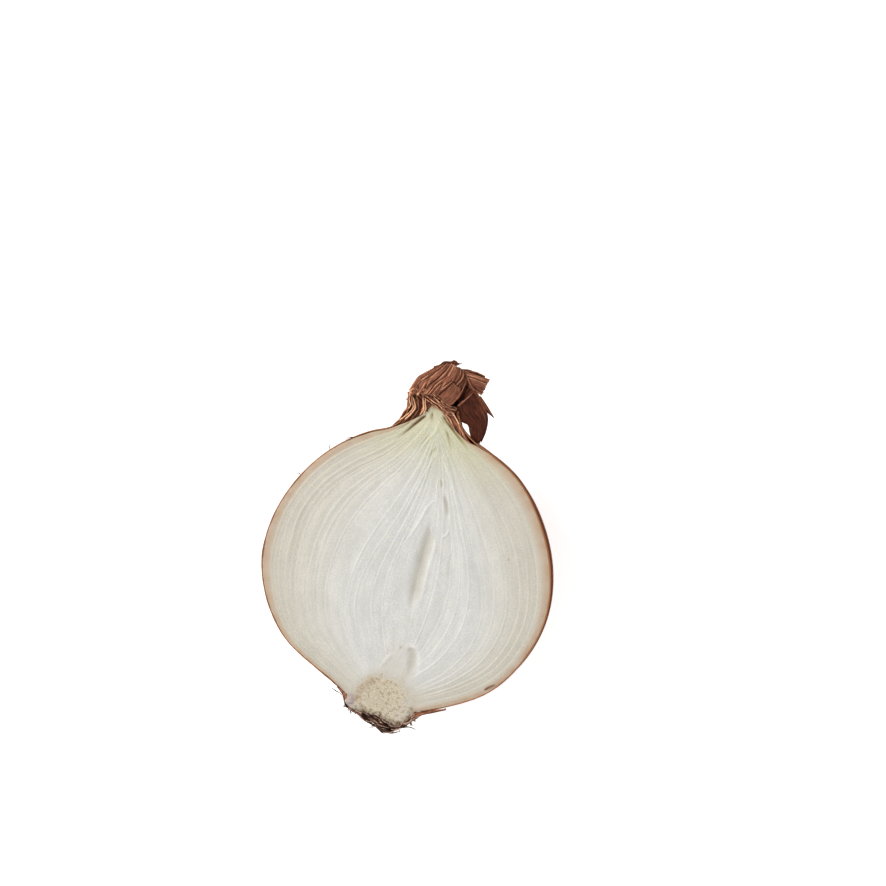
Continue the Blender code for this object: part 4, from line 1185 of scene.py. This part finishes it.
BUNDLE_SECTIONS = [      # x, y, height over the cut, half width, half height, and the way it faces
    (-1.2, 48.7, -3.4, 5.4, 2.8, 0.0, 1.0, 0.0),
    (-0.9, 49.9, -2.6, 6.4, 3.8, 0.0, 1.0, 0.1),
    (-0.5, 51.7, -2.0, 6.6, 4.4, 0.2, 1.0, 0.2),
    (0.9, 53.9, -1.2, 5.2, 4.1, 0.5, 1.0, 0.1),
    (2.9, 56.0, -0.7, 3.7, 3.2, 0.8, 1.0, 0.0),
    (4.6, 57.4, -0.6, 2.6, 2.2, 1.0, 0.8, -0.1),
]
BUNDLE_RINGS = 70
BUNDLE_SIDES = 240
BUNDLE_TWIST = 1.1
BROAD_PLEATS = 12
FINE_PLEATS = 29


def make_bundle():
    """The gathered leaf ends inside the wraps: a pleated, twisted tube."""
    up = np.arange(BUNDLE_RINGS + 1)[:, None] / BUNDLE_RINGS
    angle = 2 * np.pi * np.arange(BUNDLE_SIDES + 1)[None, :] / BUNDLE_SIDES
    run = smooth_curve(BUNDLE_SECTIONS)(up[:, 0])
    centre, across, height, facing = run[:, :3], run[:, 3:4], run[:, 4:5], run[:, 5:]
    facing = facing / np.linalg.norm(facing, axis=1, keepdims=True)
    side = np.cross(facing, (0.0, 0.0, 1.0))
    side /= np.linalg.norm(side, axis=1, keepdims=True)
    over = np.cross(side, facing)
    turn = angle - BUNDLE_TWIST * up
    pleats = 0.055 * np.cos(BROAD_PLEATS * turn) + 0.04 * np.cos(FINE_PLEATS * turn + 2 * np.sin(3 * up))
    pleats = pleats + 0.05 * rumple(angle * 5, up * 6, 161) * np.sin(angle / 2) ** 2
    size = 0.96 + pleats - 0.5 * step_up(up, 0.97, 1.0) - 0.35 * step_up(up, 0.03, 0.0)
    points = (
        centre[:, None]
        + side[:, None] * (across * np.cos(angle) * size)[..., None]
        + over[:, None] * (height * np.sin(angle) * size)[..., None]
    )
    points[..., 2] += CUT
    rows, columns = points.shape[:2]
    last = (rows - 1) * columns
    faces = grid_quads(rows, columns)
    faces += [list(range(BUNDLE_SIDES)), list(range(last, last + BUNDLE_SIDES))[::-1]]
    uv = np.stack(np.broadcast_arrays(angle * 6, up * 12), axis=2).reshape(-1, 2)
    values = {
        # Painted shade and highlight: the pleats are darker in their valleys and paler on their crests
        "fold_shading": 0.45 + 5 * pleats, "edge": step_up(up, 0.9, 1.0) + 0 * pleats, "tone": 0.25 + 0 * pleats,
    }
    return mesh_piece("gathered_leaves", points.reshape(-1, 3), faces, uv, values)


def leaf_material(settings):
    made, tree, shader = node_material("onion_dried_leaf")
    surface = surface_map(tree)
    fibre = noise(tree, stretched(tree, surface, (3.0, 0.16, 1.0)), 1.0, 4.0, 0.65, 0.3)
    fine = noise(tree, stretched(tree, surface, (9.0, 0.4, 1.0)), 1.0, 3.0, 0.65)
    patch = noise(tree, object_place(tree), 260.0, 3.0, 0.6)
    fold_shading = value_of(tree, "fold_shading")
    # Painted highlight: the rib crests are paler
    high = times(tree, spread(tree, fold_shading, 0.58, 0.80), spread(tree, fine, 0.6, 0.45, 0.5, 1.0))
    colour = tinted(
        tree, rgb(settings.leaf_tint), (spread(tree, fibre, 0.38, 0.66), (0.36, 0.165, 0.10)),
        (times(tree, spread(tree, patch, 0.5, 0.68), 0.5), (0.13, 0.045, 0.022)),
        (times(tree, spread(tree, fine, 0.52, 0.62), 0.75), settings.deep_tint),
        # painted shade in the folds and grooves
        (times(tree, spread(tree, fold_shading, 0.36, 0.10), 0.95), settings.deep_tint),
        (high, settings.edge_tint),
        (marked(tree, "edge", spread(tree, fibre, 0.4, 0.6, 0.15, 0.85)), settings.edge_tint),
        # cream on the palest fibres, a painted highlight
        (times(tree, spread(tree, fold_shading, 0.90, 1.10), 0.6), (0.76, 0.53, 0.33)),
    )
    # Each piece's tone picks a darker or lighter copy of the leaf colour: partly the leaf's own colour,
    # partly painted shade and light
    tone = spread(tree, value_of(tree, "tone"), 0.0, 1.0)
    shade = blend_colours(tree, tone, (0.34, 0.17, 0.12, 1.0), (1.55, 1.36, 1.28, 1.0))
    feed(tree, shader, {
        "Base Color": blend_colours(tree, 1.0, colour, shade, "MULTIPLY"), "Roughness": 0.7,
        "Specular IOR Level": 0.18, "Normal": bumps(tree, (fibre, 0.0008, 0.8), (fine, 0.0003, 0.7)),
    })
    return made


# Scraps and loose fibres of the skin

SKIN_SCRAPS = {
    "torn_skin_right": leaf(
        [(8.7, -36.6, -0.2), (10.2, -35.6, 0.1), (13.3, -34.5, 0.1), (17.6, -33.0, -0.2)],
        [(8.0, -39.4, -1.0), (9.0, -38.7, -0.9), (10.4, -36.7, -0.9), (13.5, -35.3, -0.9),
         (17.3, -33.4, -1.0)],
        bulge=0.25, ribs=0.5, rib_depth=0.14, crumple=0.18, tear=0.03, facing=(0.2, -0.6, 1), tone=0.42,
        seed=301,
    ),
    "torn_skin_left": leaf(
        [(-13.0, -33.2, 0.1), (-11.2, -34.2, 0.2), (-10.1, -35.2, 0.1), (-10.3, -37.0, -0.3)],
        [(-13.1, -33.2, -0.2), (-12.2, -34.2, -0.7), (-11.2, -35.5, -1.5), (-10.8, -36.6, -1.2),
         (-10.4, -37.2, -0.5)],
        bulge=0.1, ribs=0.3, rib_depth=0.06, streaks=0.4, crumple=0.14, tear=0.03, wave=0.4,
        facing=(-0.6, -1, 0), tone=0.4, seed=307,
    ),
}
# Loose fibres: points with heights over the cut, the radius and the tone
WHISKERS = {
    "whisker_root": (
        [(-14.6, -34.0, -0.9), (-13.4, -34.5, -0.6), (-12.3, -34.9, -0.8), (-10.6, -36.4, -1.2)], 0.13, 0.1,
    ),
    "whisker_rim": (
        [(-26.2, 30.2, -0.6), (-26.8, 31.2, 0.3), (-26.4, 32.2, 0.9), (-25.7, 32.3, 1.2)], 0.10, 0.2,
    ),
    "whisker_side": ([(-33.4, 22.0, -0.6), (-33.9, 22.6, 0.2), (-34.5, 22.1, 0.8)], 0.11, 0.2),
    "skin_fleck": ([(26.9, -25.8, 0.05), (27.8, -24.9, 0.2), (29.4, -23.8, 0.05)], 0.19, 0.75),
    "whisker_top": ([(-20.4, 35.0, -0.5), (-21.6, 34.9, 0.3), (-22.8, 34.0, 0.5)], 0.12, 0.2),
}


def make_scraps(settings):
    """Torn scraps and loose fibres at the edge of the skin, as thick as a dried leaf."""
    material = bpy.data.materials["onion_dried_leaf"]
    for name, shape in SKIN_SCRAPS.items():
        finish_piece(make_leaf(name, shape, settings), "dry_skin", material)
    for name, fibre in WHISKERS.items():
        finish_piece(make_fibres(name, [fibre]), "dry_skin", material)


# The root crown

CROWN_ROWS = 56
CROWN_COLUMNS = 120
CROWN_CENTRE = np.array([-0.6, -31.0, 37.9])     # a point inside the root plate
CROWN_TOP = 0.2           # how far the crown's highest lumps lie under the cut face
CROWN_SUNK = 0.9          # how far the crown's cut edge lies under the cut face
CROWN_WIDER = 0.5         # how far the crown stands out past the root plate
CROWN_SHELL = (0.4, -0.3)     # the crown's inner side, inwards from the root plate's lower edge and rim
CROWN_BOTTOM = [
    (-10.5, -37.2), (-8.6, -38.7), (-6.0, -39.7), (-3.4, -40.9), (-0.9, -41.5), (1.4, -42.4), (3.2, -42.4),
    (5.2, -41.5), (7.1, -40.1), (8.6, -38.6), (9.6, -36.4),
]
LAID_FIBRES = 96          # dead root fibres that lie along the crown's cut edge
LAID_POINTS = 9
LAID_RADII = (0.12, 0.26)
LAID_TONES = [0.0, 0.0, 0.0, 0.7, 1.0]     # most are dark
ROOT_STEPS = 10           # points along a grown root
ROOT_SIDES = 6
ROOT_TONES = (0.0, 0.6)   # darkest and palest
ROOT_FOOT = -0.12         # where a root starts in the crown, as a share of its length
ROOT_TIP = 0.3            # how thin its end is, as a share of its base
SHORTEST_ROOT = 0.35      # as a share of the longest
# Fibres that stand out: points with heights over the cut, the radius and the tone
PLACED_FIBRES = [
    ([(-3.0, -39.6, -0.3), (-1.6, -40.6, 0.0), (-0.4, -41.9, 0.0), (1.4, -43.4, -0.3)], 0.26, 0.2),
    ([(3.2, -41.6, -0.4), (6.4, -40.7, 0.0), (8.6, -40.1, 0.1), (9.8, -40.3, 0.0), (10.6, -40.7, -0.2)],
     0.24, 0.1),
    ([(1.8, -41.2, -0.6), (-0.2, -41.8, -0.3), (-1.4, -42.3, -0.3), (-3.1, -42.8, -0.6)], 0.14, 0.5),
    ([(-0.6, -41.4, -0.4), (1.4, -42.5, -0.2), (3.2, -42.7, -0.2), (5.4, -41.6, -0.4)], 0.34, 0.1),
    ([(-1.6, -41.0, -1.0), (1.0, -42.4, -0.8), (3.6, -43.0, -0.8), (6.2, -42.0, -1.0)], 0.30, 0.0),
    ([(6.0, -39.9, -0.3), (8.2, -38.9, 0.1), (9.7, -37.3, 0.1), (11.4, -36.2, -0.2)], 0.24, 0.8),
    ([(-9.8, -37.4, -0.2), (-7.6, -38.9, 0.1), (-5.4, -39.7, 0.1), (-3.6, -41.3, -0.2)], 0.24, 0.3),
]


def crown_grid(bottom, widen, knobs):
    """The domed underside of the root plate, down to a bottom line: rows run from its rim to the cut."""
    low_left, low_right = np.array(PLATE_BOTTOM[0]), np.array(PLATE_BOTTOM[-1])
    middle, reach = (low_left + low_right) / 2, (low_left - low_right) / 2
    radius = np.linalg.norm(reach) + widen
    tilt = np.pi / 2 * np.arange(CROWN_ROWS + 1)[:, None] / CROWN_ROWS
    angle = np.pi * np.arange(CROWN_COLUMNS + 1)[None, :] / CROWN_COLUMNS
    across = np.cos(angle) + 0 * tilt
    drop = np.sin(angle) * np.cos(tilt)
    x = middle[0] - across * radius
    rim = middle[1] + 0 * x
    xs, ys = np.array(bottom).T
    y = rim + (np.interp(x, xs, ys) - rim) * np.sin(tilt) ** 2
    points = np.stack([x, y, CUT - CROWN_SUNK - drop * radius], axis=2)
    lumps = 0.42 * rumple(x / 1.5, drop * 6, 201) + 0.26 * rumple(x / 0.7, drop * 13, 202)
    lumps = lumps + 0.14 * rumple(x / 0.3, drop * 30, 203)
    out = points - CROWN_CENTRE
    out /= np.linalg.norm(out, axis=2, keepdims=True)
    points = points + out * (knobs * (lumps - 0.1))[..., None]
    points[..., 2] = np.minimum(points[..., 2], CUT - CROWN_TOP)
    return points


def make_crown(settings):
    outer = crown_grid(CROWN_BOTTOM, CROWN_WIDER, 1.0)
    inner = crown_grid([(x, y + CROWN_SHELL[0]) for x, y in PLATE_BOTTOM], CROWN_SHELL[1], 0.0)
    uv = np.stack([outer[..., 0], outer[..., 2]], axis=2)
    piece = sheet_piece("corky_crown", outer, inner, uv, {"outside": np.ones(outer.shape[:2])})
    piece.data.attributes["outside"].data.foreach_set("value", outside_share(piece.data))
    finish_piece(piece, "root_crown", cork_material(settings))


def laid_fibres():
    """Fibres that follow the lower edge of the root plate, as paths, radii and tones."""
    chance = np.random.default_rng(405)
    plate, crown = smooth_curve(PLATE_BOTTOM), smooth_curve(CROWN_BOTTOM)
    fibres = []
    for number in range(LAID_FIBRES):
        start, size = chance.uniform(-0.05, 0.8), chance.uniform(0.12, 0.4)
        share = np.clip(np.linspace(start, start + size, LAID_POINTS), 0.0, 1.0)
        out = chance.uniform(0.05, 1.1) + 0.35 * rumple(share * 7, number * 1.7, 406)
        places = plate(share) + (crown(share) - plate(share)) * out[:, None]
        height = chance.uniform(-0.8, 0.0) + 0.35 * rumple(share * 9, number * 2.3, 407)
        if chance.random() < 0.5:
            places, height = places[::-1], height[::-1]
        tone = chance.choice(LAID_TONES)
        fibres.append((np.column_stack([places, height]), chance.uniform(*LAID_RADII), tone))
    return fibres


def outside_share(mesh):
    """1 at the points of the crown that roots grow from, and 0 on its inner side and at the cut."""
    places = np.zeros(len(mesh.vertices) * 3, np.float32)
    mesh.vertices.foreach_get("co", places)
    places = places.reshape(-1, 3) / MM
    normals = np.zeros(len(mesh.vertices) * 3, np.float32)
    mesh.vertices.foreach_get("normal", normals)
    out = np.sum(normals.reshape(-1, 3) * (places - CROWN_CENTRE), axis=1)
    return ((out > 0) & (places[:, 2] < CUT - 0.25)).astype(np.float32)


def cork_material(settings):
    made, tree, shader = node_material("onion_cork")
    place = object_place(tree)
    lump = noise(tree, place, 700.0, 4.0, 0.65)
    fine = noise(tree, stretched(tree, place, (2.0, 2.0, 2.0)), 1800.0, 3.0, 0.6)
    colour = tinted(
        tree, rgb(settings.cork_tint), (spread(tree, lump, 0.46, 0.72), settings.root_tint),
        (spread(tree, fine, 0.56, 0.72), (0.20, 0.11, 0.075)),
    )
    feed(tree, shader, {
        "Base Color": colour, "Roughness": 0.85, "Specular IOR Level": 0.08,
        "Normal": bumps(tree, (lump, 0.0012, 0.7), (fine, 0.0004, 0.7)),
    })
    return made


def root_material(settings):
    made, tree, shader = node_material("onion_roots")
    place = object_place(tree)
    patch = noise(tree, place, 420.0, 3.0, 0.6)
    fine = noise(tree, place, 2400.0, 2.0, 0.6)
    dark = tinted(tree, rgb(settings.root_tint), (spread(tree, patch, 0.38, 0.62), (0.006, 0.002, 0.001)))
    pale = tinted(tree, (0.34, 0.18, 0.12, 1.0), (spread(tree, fine, 0.42, 0.62), (0.70, 0.50, 0.40)))
    feed(tree, shader, {
        "Base Color": blend_colours(tree, value_of(tree, "tone"), dark, pale), "Roughness": 0.8,
        "Specular IOR Level": 0.08, "Normal": bumps(tree, (fine, 0.0003, 0.6)),
    })
    return made


def new_geometry_tree(name, inputs):
    """A geometry node tree with a geometry input, named inputs and a geometry output."""
    tree = bpy.data.node_groups.new(name, "GeometryNodeTree")
    tree.interface.new_socket("Geometry", in_out="INPUT", socket_type="NodeSocketGeometry")
    for label, kind in inputs.items():
        tree.interface.new_socket(label, in_out="INPUT", socket_type=kind)
    tree.interface.new_socket("Geometry", in_out="OUTPUT", socket_type="NodeSocketGeometry")
    return tree, tree.nodes.new("NodeGroupInput"), tree.nodes.new("NodeGroupOutput")


def rooting_points(tree, given):
    """As many points as asked for, scattered over the outside of a surface, and the turn of each."""
    where = add(tree, "GeometryNodeInputNamedAttribute", {"Name": "outside"}, data_type="FLOAT")
    chosen = add(
        tree, "FunctionNodeCompare", {0: where.outputs["Attribute"], 1: 0.5}, operation="GREATER_THAN"
    )
    scatter = add(tree, "GeometryNodeDistributePointsOnFaces", {
        "Mesh": given["Geometry"], "Selection": chosen.outputs[0], "Density": 1.0e6, "Seed": given["Seed"],
    }).outputs
    number = add(tree, "GeometryNodeInputIndex").outputs[0]
    order = add(tree, "FunctionNodeRandomValue", {"Seed": 3, "ID": number}, data_type="FLOAT")
    mixed = add(tree, "GeometryNodeSortElements", {
        "Geometry": scatter["Points"], "Sort Weight": order.outputs["Value"],
    }, domain="POINT")
    past = add(tree, "FunctionNodeCompare", {
        2: number, 3: given["Count"],
    }, data_type="INT", operation="GREATER_EQUAL")
    kept = add(tree, "GeometryNodeDeleteGeometry", {
        "Geometry": mixed.outputs[0], "Selection": past.outputs[0],
    }, domain="POINT")
    return kept.outputs[0], scatter["Rotation"]


def root_lines(tree, given, points, rotation):
    """A crooked line on each point, with its own length and lean."""
    line = add(tree, "GeometryNodeCurvePrimitiveLine", {
        "Start": (0.0, 0.0, ROOT_FOOT), "End": (0.0, 0.0, 1.0),
    })
    steps = add(tree, "GeometryNodeResampleCurve", {"Curve": line.outputs[0], "Count": ROOT_STEPS})
    lean = given["Lean"]
    back = sums(tree, "MULTIPLY", lean, -1.0)
    least = add(tree, "ShaderNodeCombineXYZ", {0: back, 1: back, 2: 0.0}).outputs[0]
    most = add(tree, "ShaderNodeCombineXYZ", {0: lean, 1: lean, 2: 2 * math.pi}).outputs[0]
    leaning = add(tree, "FunctionNodeRandomValue", {0: least, 1: most}, data_type="FLOAT_VECTOR").outputs[0]
    turned = add(
        tree, "FunctionNodeRotateEuler", {"Rotation": rotation, "Rotate By": leaning}, space="LOCAL"
    )
    size = add(
        tree, "FunctionNodeRandomValue", {2: SHORTEST_ROOT, 3: 1.0, "Seed": 8}, data_type="FLOAT"
    ).outputs["Value"]
    copies = add(tree, "GeometryNodeInstanceOnPoints", {
        "Points": points, "Instance": steps.outputs[0], "Rotation": turned.outputs[0],
        "Scale": sums(tree, "MULTIPLY", size, given["Length"]),
    })
    real = add(tree, "GeometryNodeRealizeInstances", {0: copies.outputs[0]})
    spot = add(tree, "GeometryNodeInputPosition").outputs[0]
    wobble = add(tree, "ShaderNodeTexNoise", {"Vector": spot, "Scale": 420.0, "Detail": 1.0})
    centred = add(
        tree, "ShaderNodeVectorMath", {0: wobble.outputs["Color"], 1: (0.5, 0.5, 0.5)}, operation="SUBTRACT"
    )
    factor = add(tree, "GeometryNodeSplineParameter").outputs["Factor"]
    reach = sums(tree, "MULTIPLY", factor, given["Wander"])
    push = add(tree, "ShaderNodeVectorMath", {0: centred.outputs[0], "Scale": reach}, operation="SCALE")
    bent = add(tree, "GeometryNodeSetPosition", {"Geometry": real.outputs[0], "Offset": push.outputs[0]})
    return bent.outputs[0], factor


def root_tree():
    """Grows short crooked roots out of a surface, thinner towards their ends."""
    tree, given, result = new_geometry_tree("dried_roots", {
        "Count": "NodeSocketInt", "Length": "NodeSocketFloat", "Radius": "NodeSocketFloat",
        "Lean": "NodeSocketFloat", "Wander": "NodeSocketFloat", "Seed": "NodeSocketInt",
        "Material": "NodeSocketMaterial",
    })
    given = given.outputs
    lines, factor = root_lines(tree, given, *rooting_points(tree, given))
    taper = add(tree, "ShaderNodeMapRange", {0: factor, 1: 0.0, 2: 1.0, 3: 1.0, 4: ROOT_TIP}).outputs[0]
    ring = add(tree, "GeometryNodeCurvePrimitiveCircle", {"Resolution": ROOT_SIDES, "Radius": 1.0})
    tube = add(tree, "GeometryNodeCurveToMesh", {
        "Curve": lines, "Profile Curve": ring.outputs[0], "Fill Caps": True,
        "Scale": sums(tree, "MULTIPLY", taper, given["Radius"]),
    })
    smooth = add(tree, "GeometryNodeSetShadeSmooth", {"Geometry": tube.outputs[0]})
    whole = add(tree, "GeometryNodeRealizeInstances", {0: smooth.outputs[0]})
    dressed = add(
        tree, "GeometryNodeSetMaterial", {"Geometry": whole.outputs[0], "Material": given["Material"]}
    )
    feed(tree, result, {0: dressed.outputs[0]})
    return tree


def grown(name, source, tree, inputs):
    """A new plain mesh object that the node tree makes from the source object."""
    modifier = source.modifiers.new(name, "NODES")
    modifier.node_group = tree
    for item in tree.interface.items_tree:
        if item.item_type == "SOCKET" and item.in_out == "INPUT" and item.name in inputs:
            modifier[item.identifier] = inputs[item.name]
    graph = bpy.context.evaluated_depsgraph_get()
    mesh = bpy.data.meshes.new_from_object(source.evaluated_get(graph))
    source.modifiers.remove(modifier)
    mesh.name = name
    piece = bpy.data.objects.new(name, mesh)
    bpy.context.scene.collection.objects.link(piece)
    return piece


def make_roots(settings):
    """Fibres laid along the crown's cut edge, a mat of short roots and a few thicker stubs."""
    crown = bpy.data.objects["corky_crown"]
    material = root_material(settings)
    laid = make_fibres("laid_roots", [*laid_fibres(), *PLACED_FIBRES])
    finish_piece(laid, "root_crown", material)
    tree = root_tree()
    roots, length_each, radius_each = settings.roots, settings.root_length, settings.root_radius
    groups = {       # number, length, radius, lean, wander and seed
        "root_mat": (roots * 2, length_each * 0.6, radius_each * 0.8, 1.6, 0.002, 21),
        "root_stubs": (roots // 3, length_each * 0.25, radius_each, 1.1, 0.001, 27),
    }
    for name, values in groups.items():
        inputs = dict(zip(("Count", "Length", "Radius", "Lean", "Wander", "Seed"), values))
        piece = grown(name, crown, tree, {**inputs, "Material": material})
        give_tones(piece.data, inputs["Seed"])
        finish_piece(piece, "root_crown", material)


def give_tones(mesh, seed):
    """Gives each grown root its own tone, from dark to the pale brown of dry fibre."""
    roots = len(mesh.vertices) // (ROOT_STEPS * ROOT_SIDES)
    tones = np.random.default_rng(seed).uniform(*ROOT_TONES, roots)
    made = mesh.attributes.new("tone", "FLOAT", "POINT")
    made.data.foreach_set("value", np.repeat(tones, ROOT_STEPS * ROOT_SIDES).astype(np.float32))


# The stage

VIEW_CENTRE = (3.6, 38.2)       # the point of the cut plane in the middle of the picture
FRAME_WIDTH = 239.3             # width of the picture at the cut plane
LEAN = math.radians(10.4)       # how far the bulb's axis leans to the right of upright
VIEW_WAY = math.radians(40.8)   # the way in which the view is tilted from the cut face's normal, from +X
SENSOR_WIDTH = 36.0
CLIP_START = 0.01
LIGHTS = {       # place, size, power and colour of each window
    "window_left": ((-0.55, 0.35, 0.75), (0.45, 0.45), 7.0, (1.0, 0.985, 0.96)),
    "window_right": ((0.75, -0.10, 0.45), (0.25, 0.45), 1.4, (0.96, 0.98, 1.0)),
}
SKY_STRENGTH = 0.6
WHITE = (1.0, 1.0, 1.0, 1.0)
FLOOR_HALF_WIDTH = 3.0
FLOOR_GLOW = 0.5


def make_camera(settings):
    data = bpy.data.cameras.new("camera")
    data.lens = settings.lens
    data.sensor_width = SENSOR_WIDTH
    data.clip_start = CLIP_START
    camera = bpy.data.objects.new("camera", data)
    bpy.context.scene.collection.objects.link(camera)
    bpy.context.scene.camera = camera
    distance = data.lens / data.sensor_width * FRAME_WIDTH
    away = Vector((
        math.sin(settings.tilt) * math.cos(VIEW_WAY), math.sin(settings.tilt) * math.sin(VIEW_WAY),
        math.cos(settings.tilt),
    ))
    up = Vector((-math.sin(LEAN), math.cos(LEAN), 0.0))
    right = up.cross(away).normalized()
    up = away.cross(right).normalized()
    centre = Vector((*VIEW_CENTRE, CUT))
    camera.matrix_world = matrix_of(right, up, away, (centre + away * distance) * MM)


def matrix_of(right, up, back, place):
    turn = Matrix((right, up, back)).transposed().to_4x4()
    return Matrix.Translation(place) @ turn


def make_light(name, place, size, power, colour):
    """A window of light that faces the middle of the cut face."""
    data = bpy.data.lights.new(name, "AREA")
    data.shape = "RECTANGLE"
    data.size, data.size_y = size
    data.energy = power
    data.color = colour
    light = bpy.data.objects.new(name, data)
    bpy.context.scene.collection.objects.link(light)
    light.location = place
    away = Vector(place) - Vector((0.0, 0.0, CUT * MM))
    light.rotation_euler = away.to_track_quat("Z", "Y").to_euler()


def make_stage(settings):
    make_camera(settings)
    for name, light in LIGHTS.items():
        make_light(name, *light)
    world = bpy.data.worlds.new("studio")
    bpy.context.scene.world = world
    world.use_nodes = True
    sky = world.node_tree.nodes["Background"]
    feed(world.node_tree, sky, {"Color": WHITE, "Strength": SKY_STRENGTH})
    floor = floor_piece(settings)
    view = bpy.context.scene.view_settings
    view.view_transform = "Standard"
    view.look = "None"


def floor_piece(settings):
    bm = bmesh.new()
    bmesh.ops.create_grid(bm, x_segments=1, y_segments=1, size=FLOOR_HALF_WIDTH)
    mesh = bpy.data.meshes.new("floor")
    bm.to_mesh(mesh)
    bm.free()
    floor = bpy.data.objects.new("floor", mesh)
    bpy.context.scene.collection.objects.link(floor)
    made, tree, shader = node_material("floor")
    feed(tree, shader, {
        "Base Color": rgb(settings.floor_tint), "Roughness": 0.9, "Emission Color": WHITE,
        "Emission Strength": FLOOR_GLOW,
    })
    floor.data.materials.append(made)
    return floor


# Operators


class ONION_OT_flesh(bpy.types.Operator):
    """Makes the cut scales on their root plate"""

    bl_idname = "onion.flesh"
    bl_label = "Cut Scales"

    def execute(self, context):
        make_flesh(context.scene.onion_flesh)
        return {"FINISHED"}


class ONION_OT_skin(bpy.types.Operator):
    """Makes the dry papery skin"""

    bl_idname = "onion.skin"
    bl_label = "Papery Skin"

    def execute(self, context):
        make_skin(context.scene.onion_skin)
        return {"FINISHED"}


class ONION_OT_scraps(bpy.types.Operator):
    """Makes the torn scraps and loose fibres at the edge of the skin"""

    bl_idname = "onion.scraps"
    bl_label = "Skin Scraps"

    def execute(self, context):
        make_scraps(context.scene.onion_neck)
        return {"FINISHED"}


class ONION_OT_cut_leaves(bpy.types.Operator):
    """Makes the dry inner leaves of the neck that the knife cut through"""

    bl_idname = "onion.cut_leaves"
    bl_label = "Cut Neck Leaves"

    def execute(self, context):
        settings = context.scene.onion_neck
        material = leaf_material(settings)
        for number in range(len(CUT_LEAVES)):
            finish_piece(make_cut_leaf(number, settings), "neck_leaves", material)
        return {"FINISHED"}


class ONION_OT_neck(bpy.types.Operator):
    """Makes the gathered, torn leaf ends of the neck"""

    bl_idname = "onion.neck"
    bl_label = "Gathered Neck"

    def execute(self, context):
        settings = context.scene.onion_neck
        material = bpy.data.materials["onion_dried_leaf"]
        finish_piece(make_bundle(), "neck_leaves", material)
        shapes = {**NECK_LEAVES, **{f"cut_edge_{k + 1}": cut_edge(k) for k in range(CUT_EDGES)}}
        for name, shape in shapes.items():
            finish_piece(make_leaf(name, shape, settings), "neck_leaves", material)
        finish_piece(make_fibres("leaf_ribs", LEAF_RIBS), "neck_leaves", material)
        return {"FINISHED"}


class ONION_OT_crown(bpy.types.Operator):
    """Makes the corky crown under the root plate"""

    bl_idname = "onion.crown"
    bl_label = "Corky Crown"

    def execute(self, context):
        make_crown(context.scene.onion_roots)
        return {"FINISHED"}


class ONION_OT_roots(bpy.types.Operator):
    """Grows the dried roots out of the crown"""

    bl_idname = "onion.roots"
    bl_label = "Dried Roots"

    def execute(self, context):
        make_roots(context.scene.onion_roots)
        return {"FINISHED"}


class ONION_OT_stage(bpy.types.Operator):
    """Makes the floor, lights and camera"""

    bl_idname = "onion.stage"
    bl_label = "Stage"

    def execute(self, context):
        make_stage(context.scene.onion_stage)
        return {"FINISHED"}


class ONION_PT_panel(bpy.types.Panel):
    """Lists the onion's pieces and their settings"""

    bl_idname = "ONION_PT_panel"
    bl_label = "Halved Onion"
    bl_space_type = "VIEW_3D"
    bl_region_type = "UI"
    bl_category = "Onion"

    def draw(self, context):
        for group, operators in PANEL_ROWS.items():
            box = self.layout.box()
            settings = getattr(context.scene, group)
            for label in settings.__annotations__:
                box.prop(settings, label)
            for operator in operators:
                box.operator(operator)


GROUPS = {
    "onion_flesh": OnionFleshSettings,
    "onion_skin": OnionSkinSettings,
    "onion_neck": OnionNeckSettings,
    "onion_roots": OnionRootSettings,
    "onion_stage": OnionStageSettings,
}
OPERATORS = [
    ONION_OT_flesh, ONION_OT_skin, ONION_OT_cut_leaves, ONION_OT_neck, ONION_OT_scraps, ONION_OT_crown,
    ONION_OT_roots, ONION_OT_stage,
]
PANEL_ROWS = {
    "onion_flesh": ["onion.flesh"],
    "onion_skin": ["onion.skin", "onion.scraps"],
    "onion_neck": ["onion.cut_leaves", "onion.neck"],
    "onion_roots": ["onion.crown", "onion.roots"],
    "onion_stage": ["onion.stage"],
}


def register():
    for name, group in GROUPS.items():
        bpy.utils.register_class(group)
        setattr(bpy.types.Scene, name, bpy.props.PointerProperty(type=group))
    for made in [*OPERATORS, ONION_PT_panel]:
        bpy.utils.register_class(made)


def unregister():
    for made in [*OPERATORS, ONION_PT_panel]:
        bpy.utils.unregister_class(made)
    for name, group in GROUPS.items():
        delattr(bpy.types.Scene, name)
        bpy.utils.unregister_class(group)


def main():
    register()
    bpy.ops.onion.flesh()
    bpy.ops.onion.skin()
    bpy.ops.onion.cut_leaves()
    bpy.ops.onion.neck()
    bpy.ops.onion.scraps()
    bpy.ops.onion.crown()
    bpy.ops.onion.roots()
    bpy.ops.onion.stage()


if __name__ == "__main__":
    main()
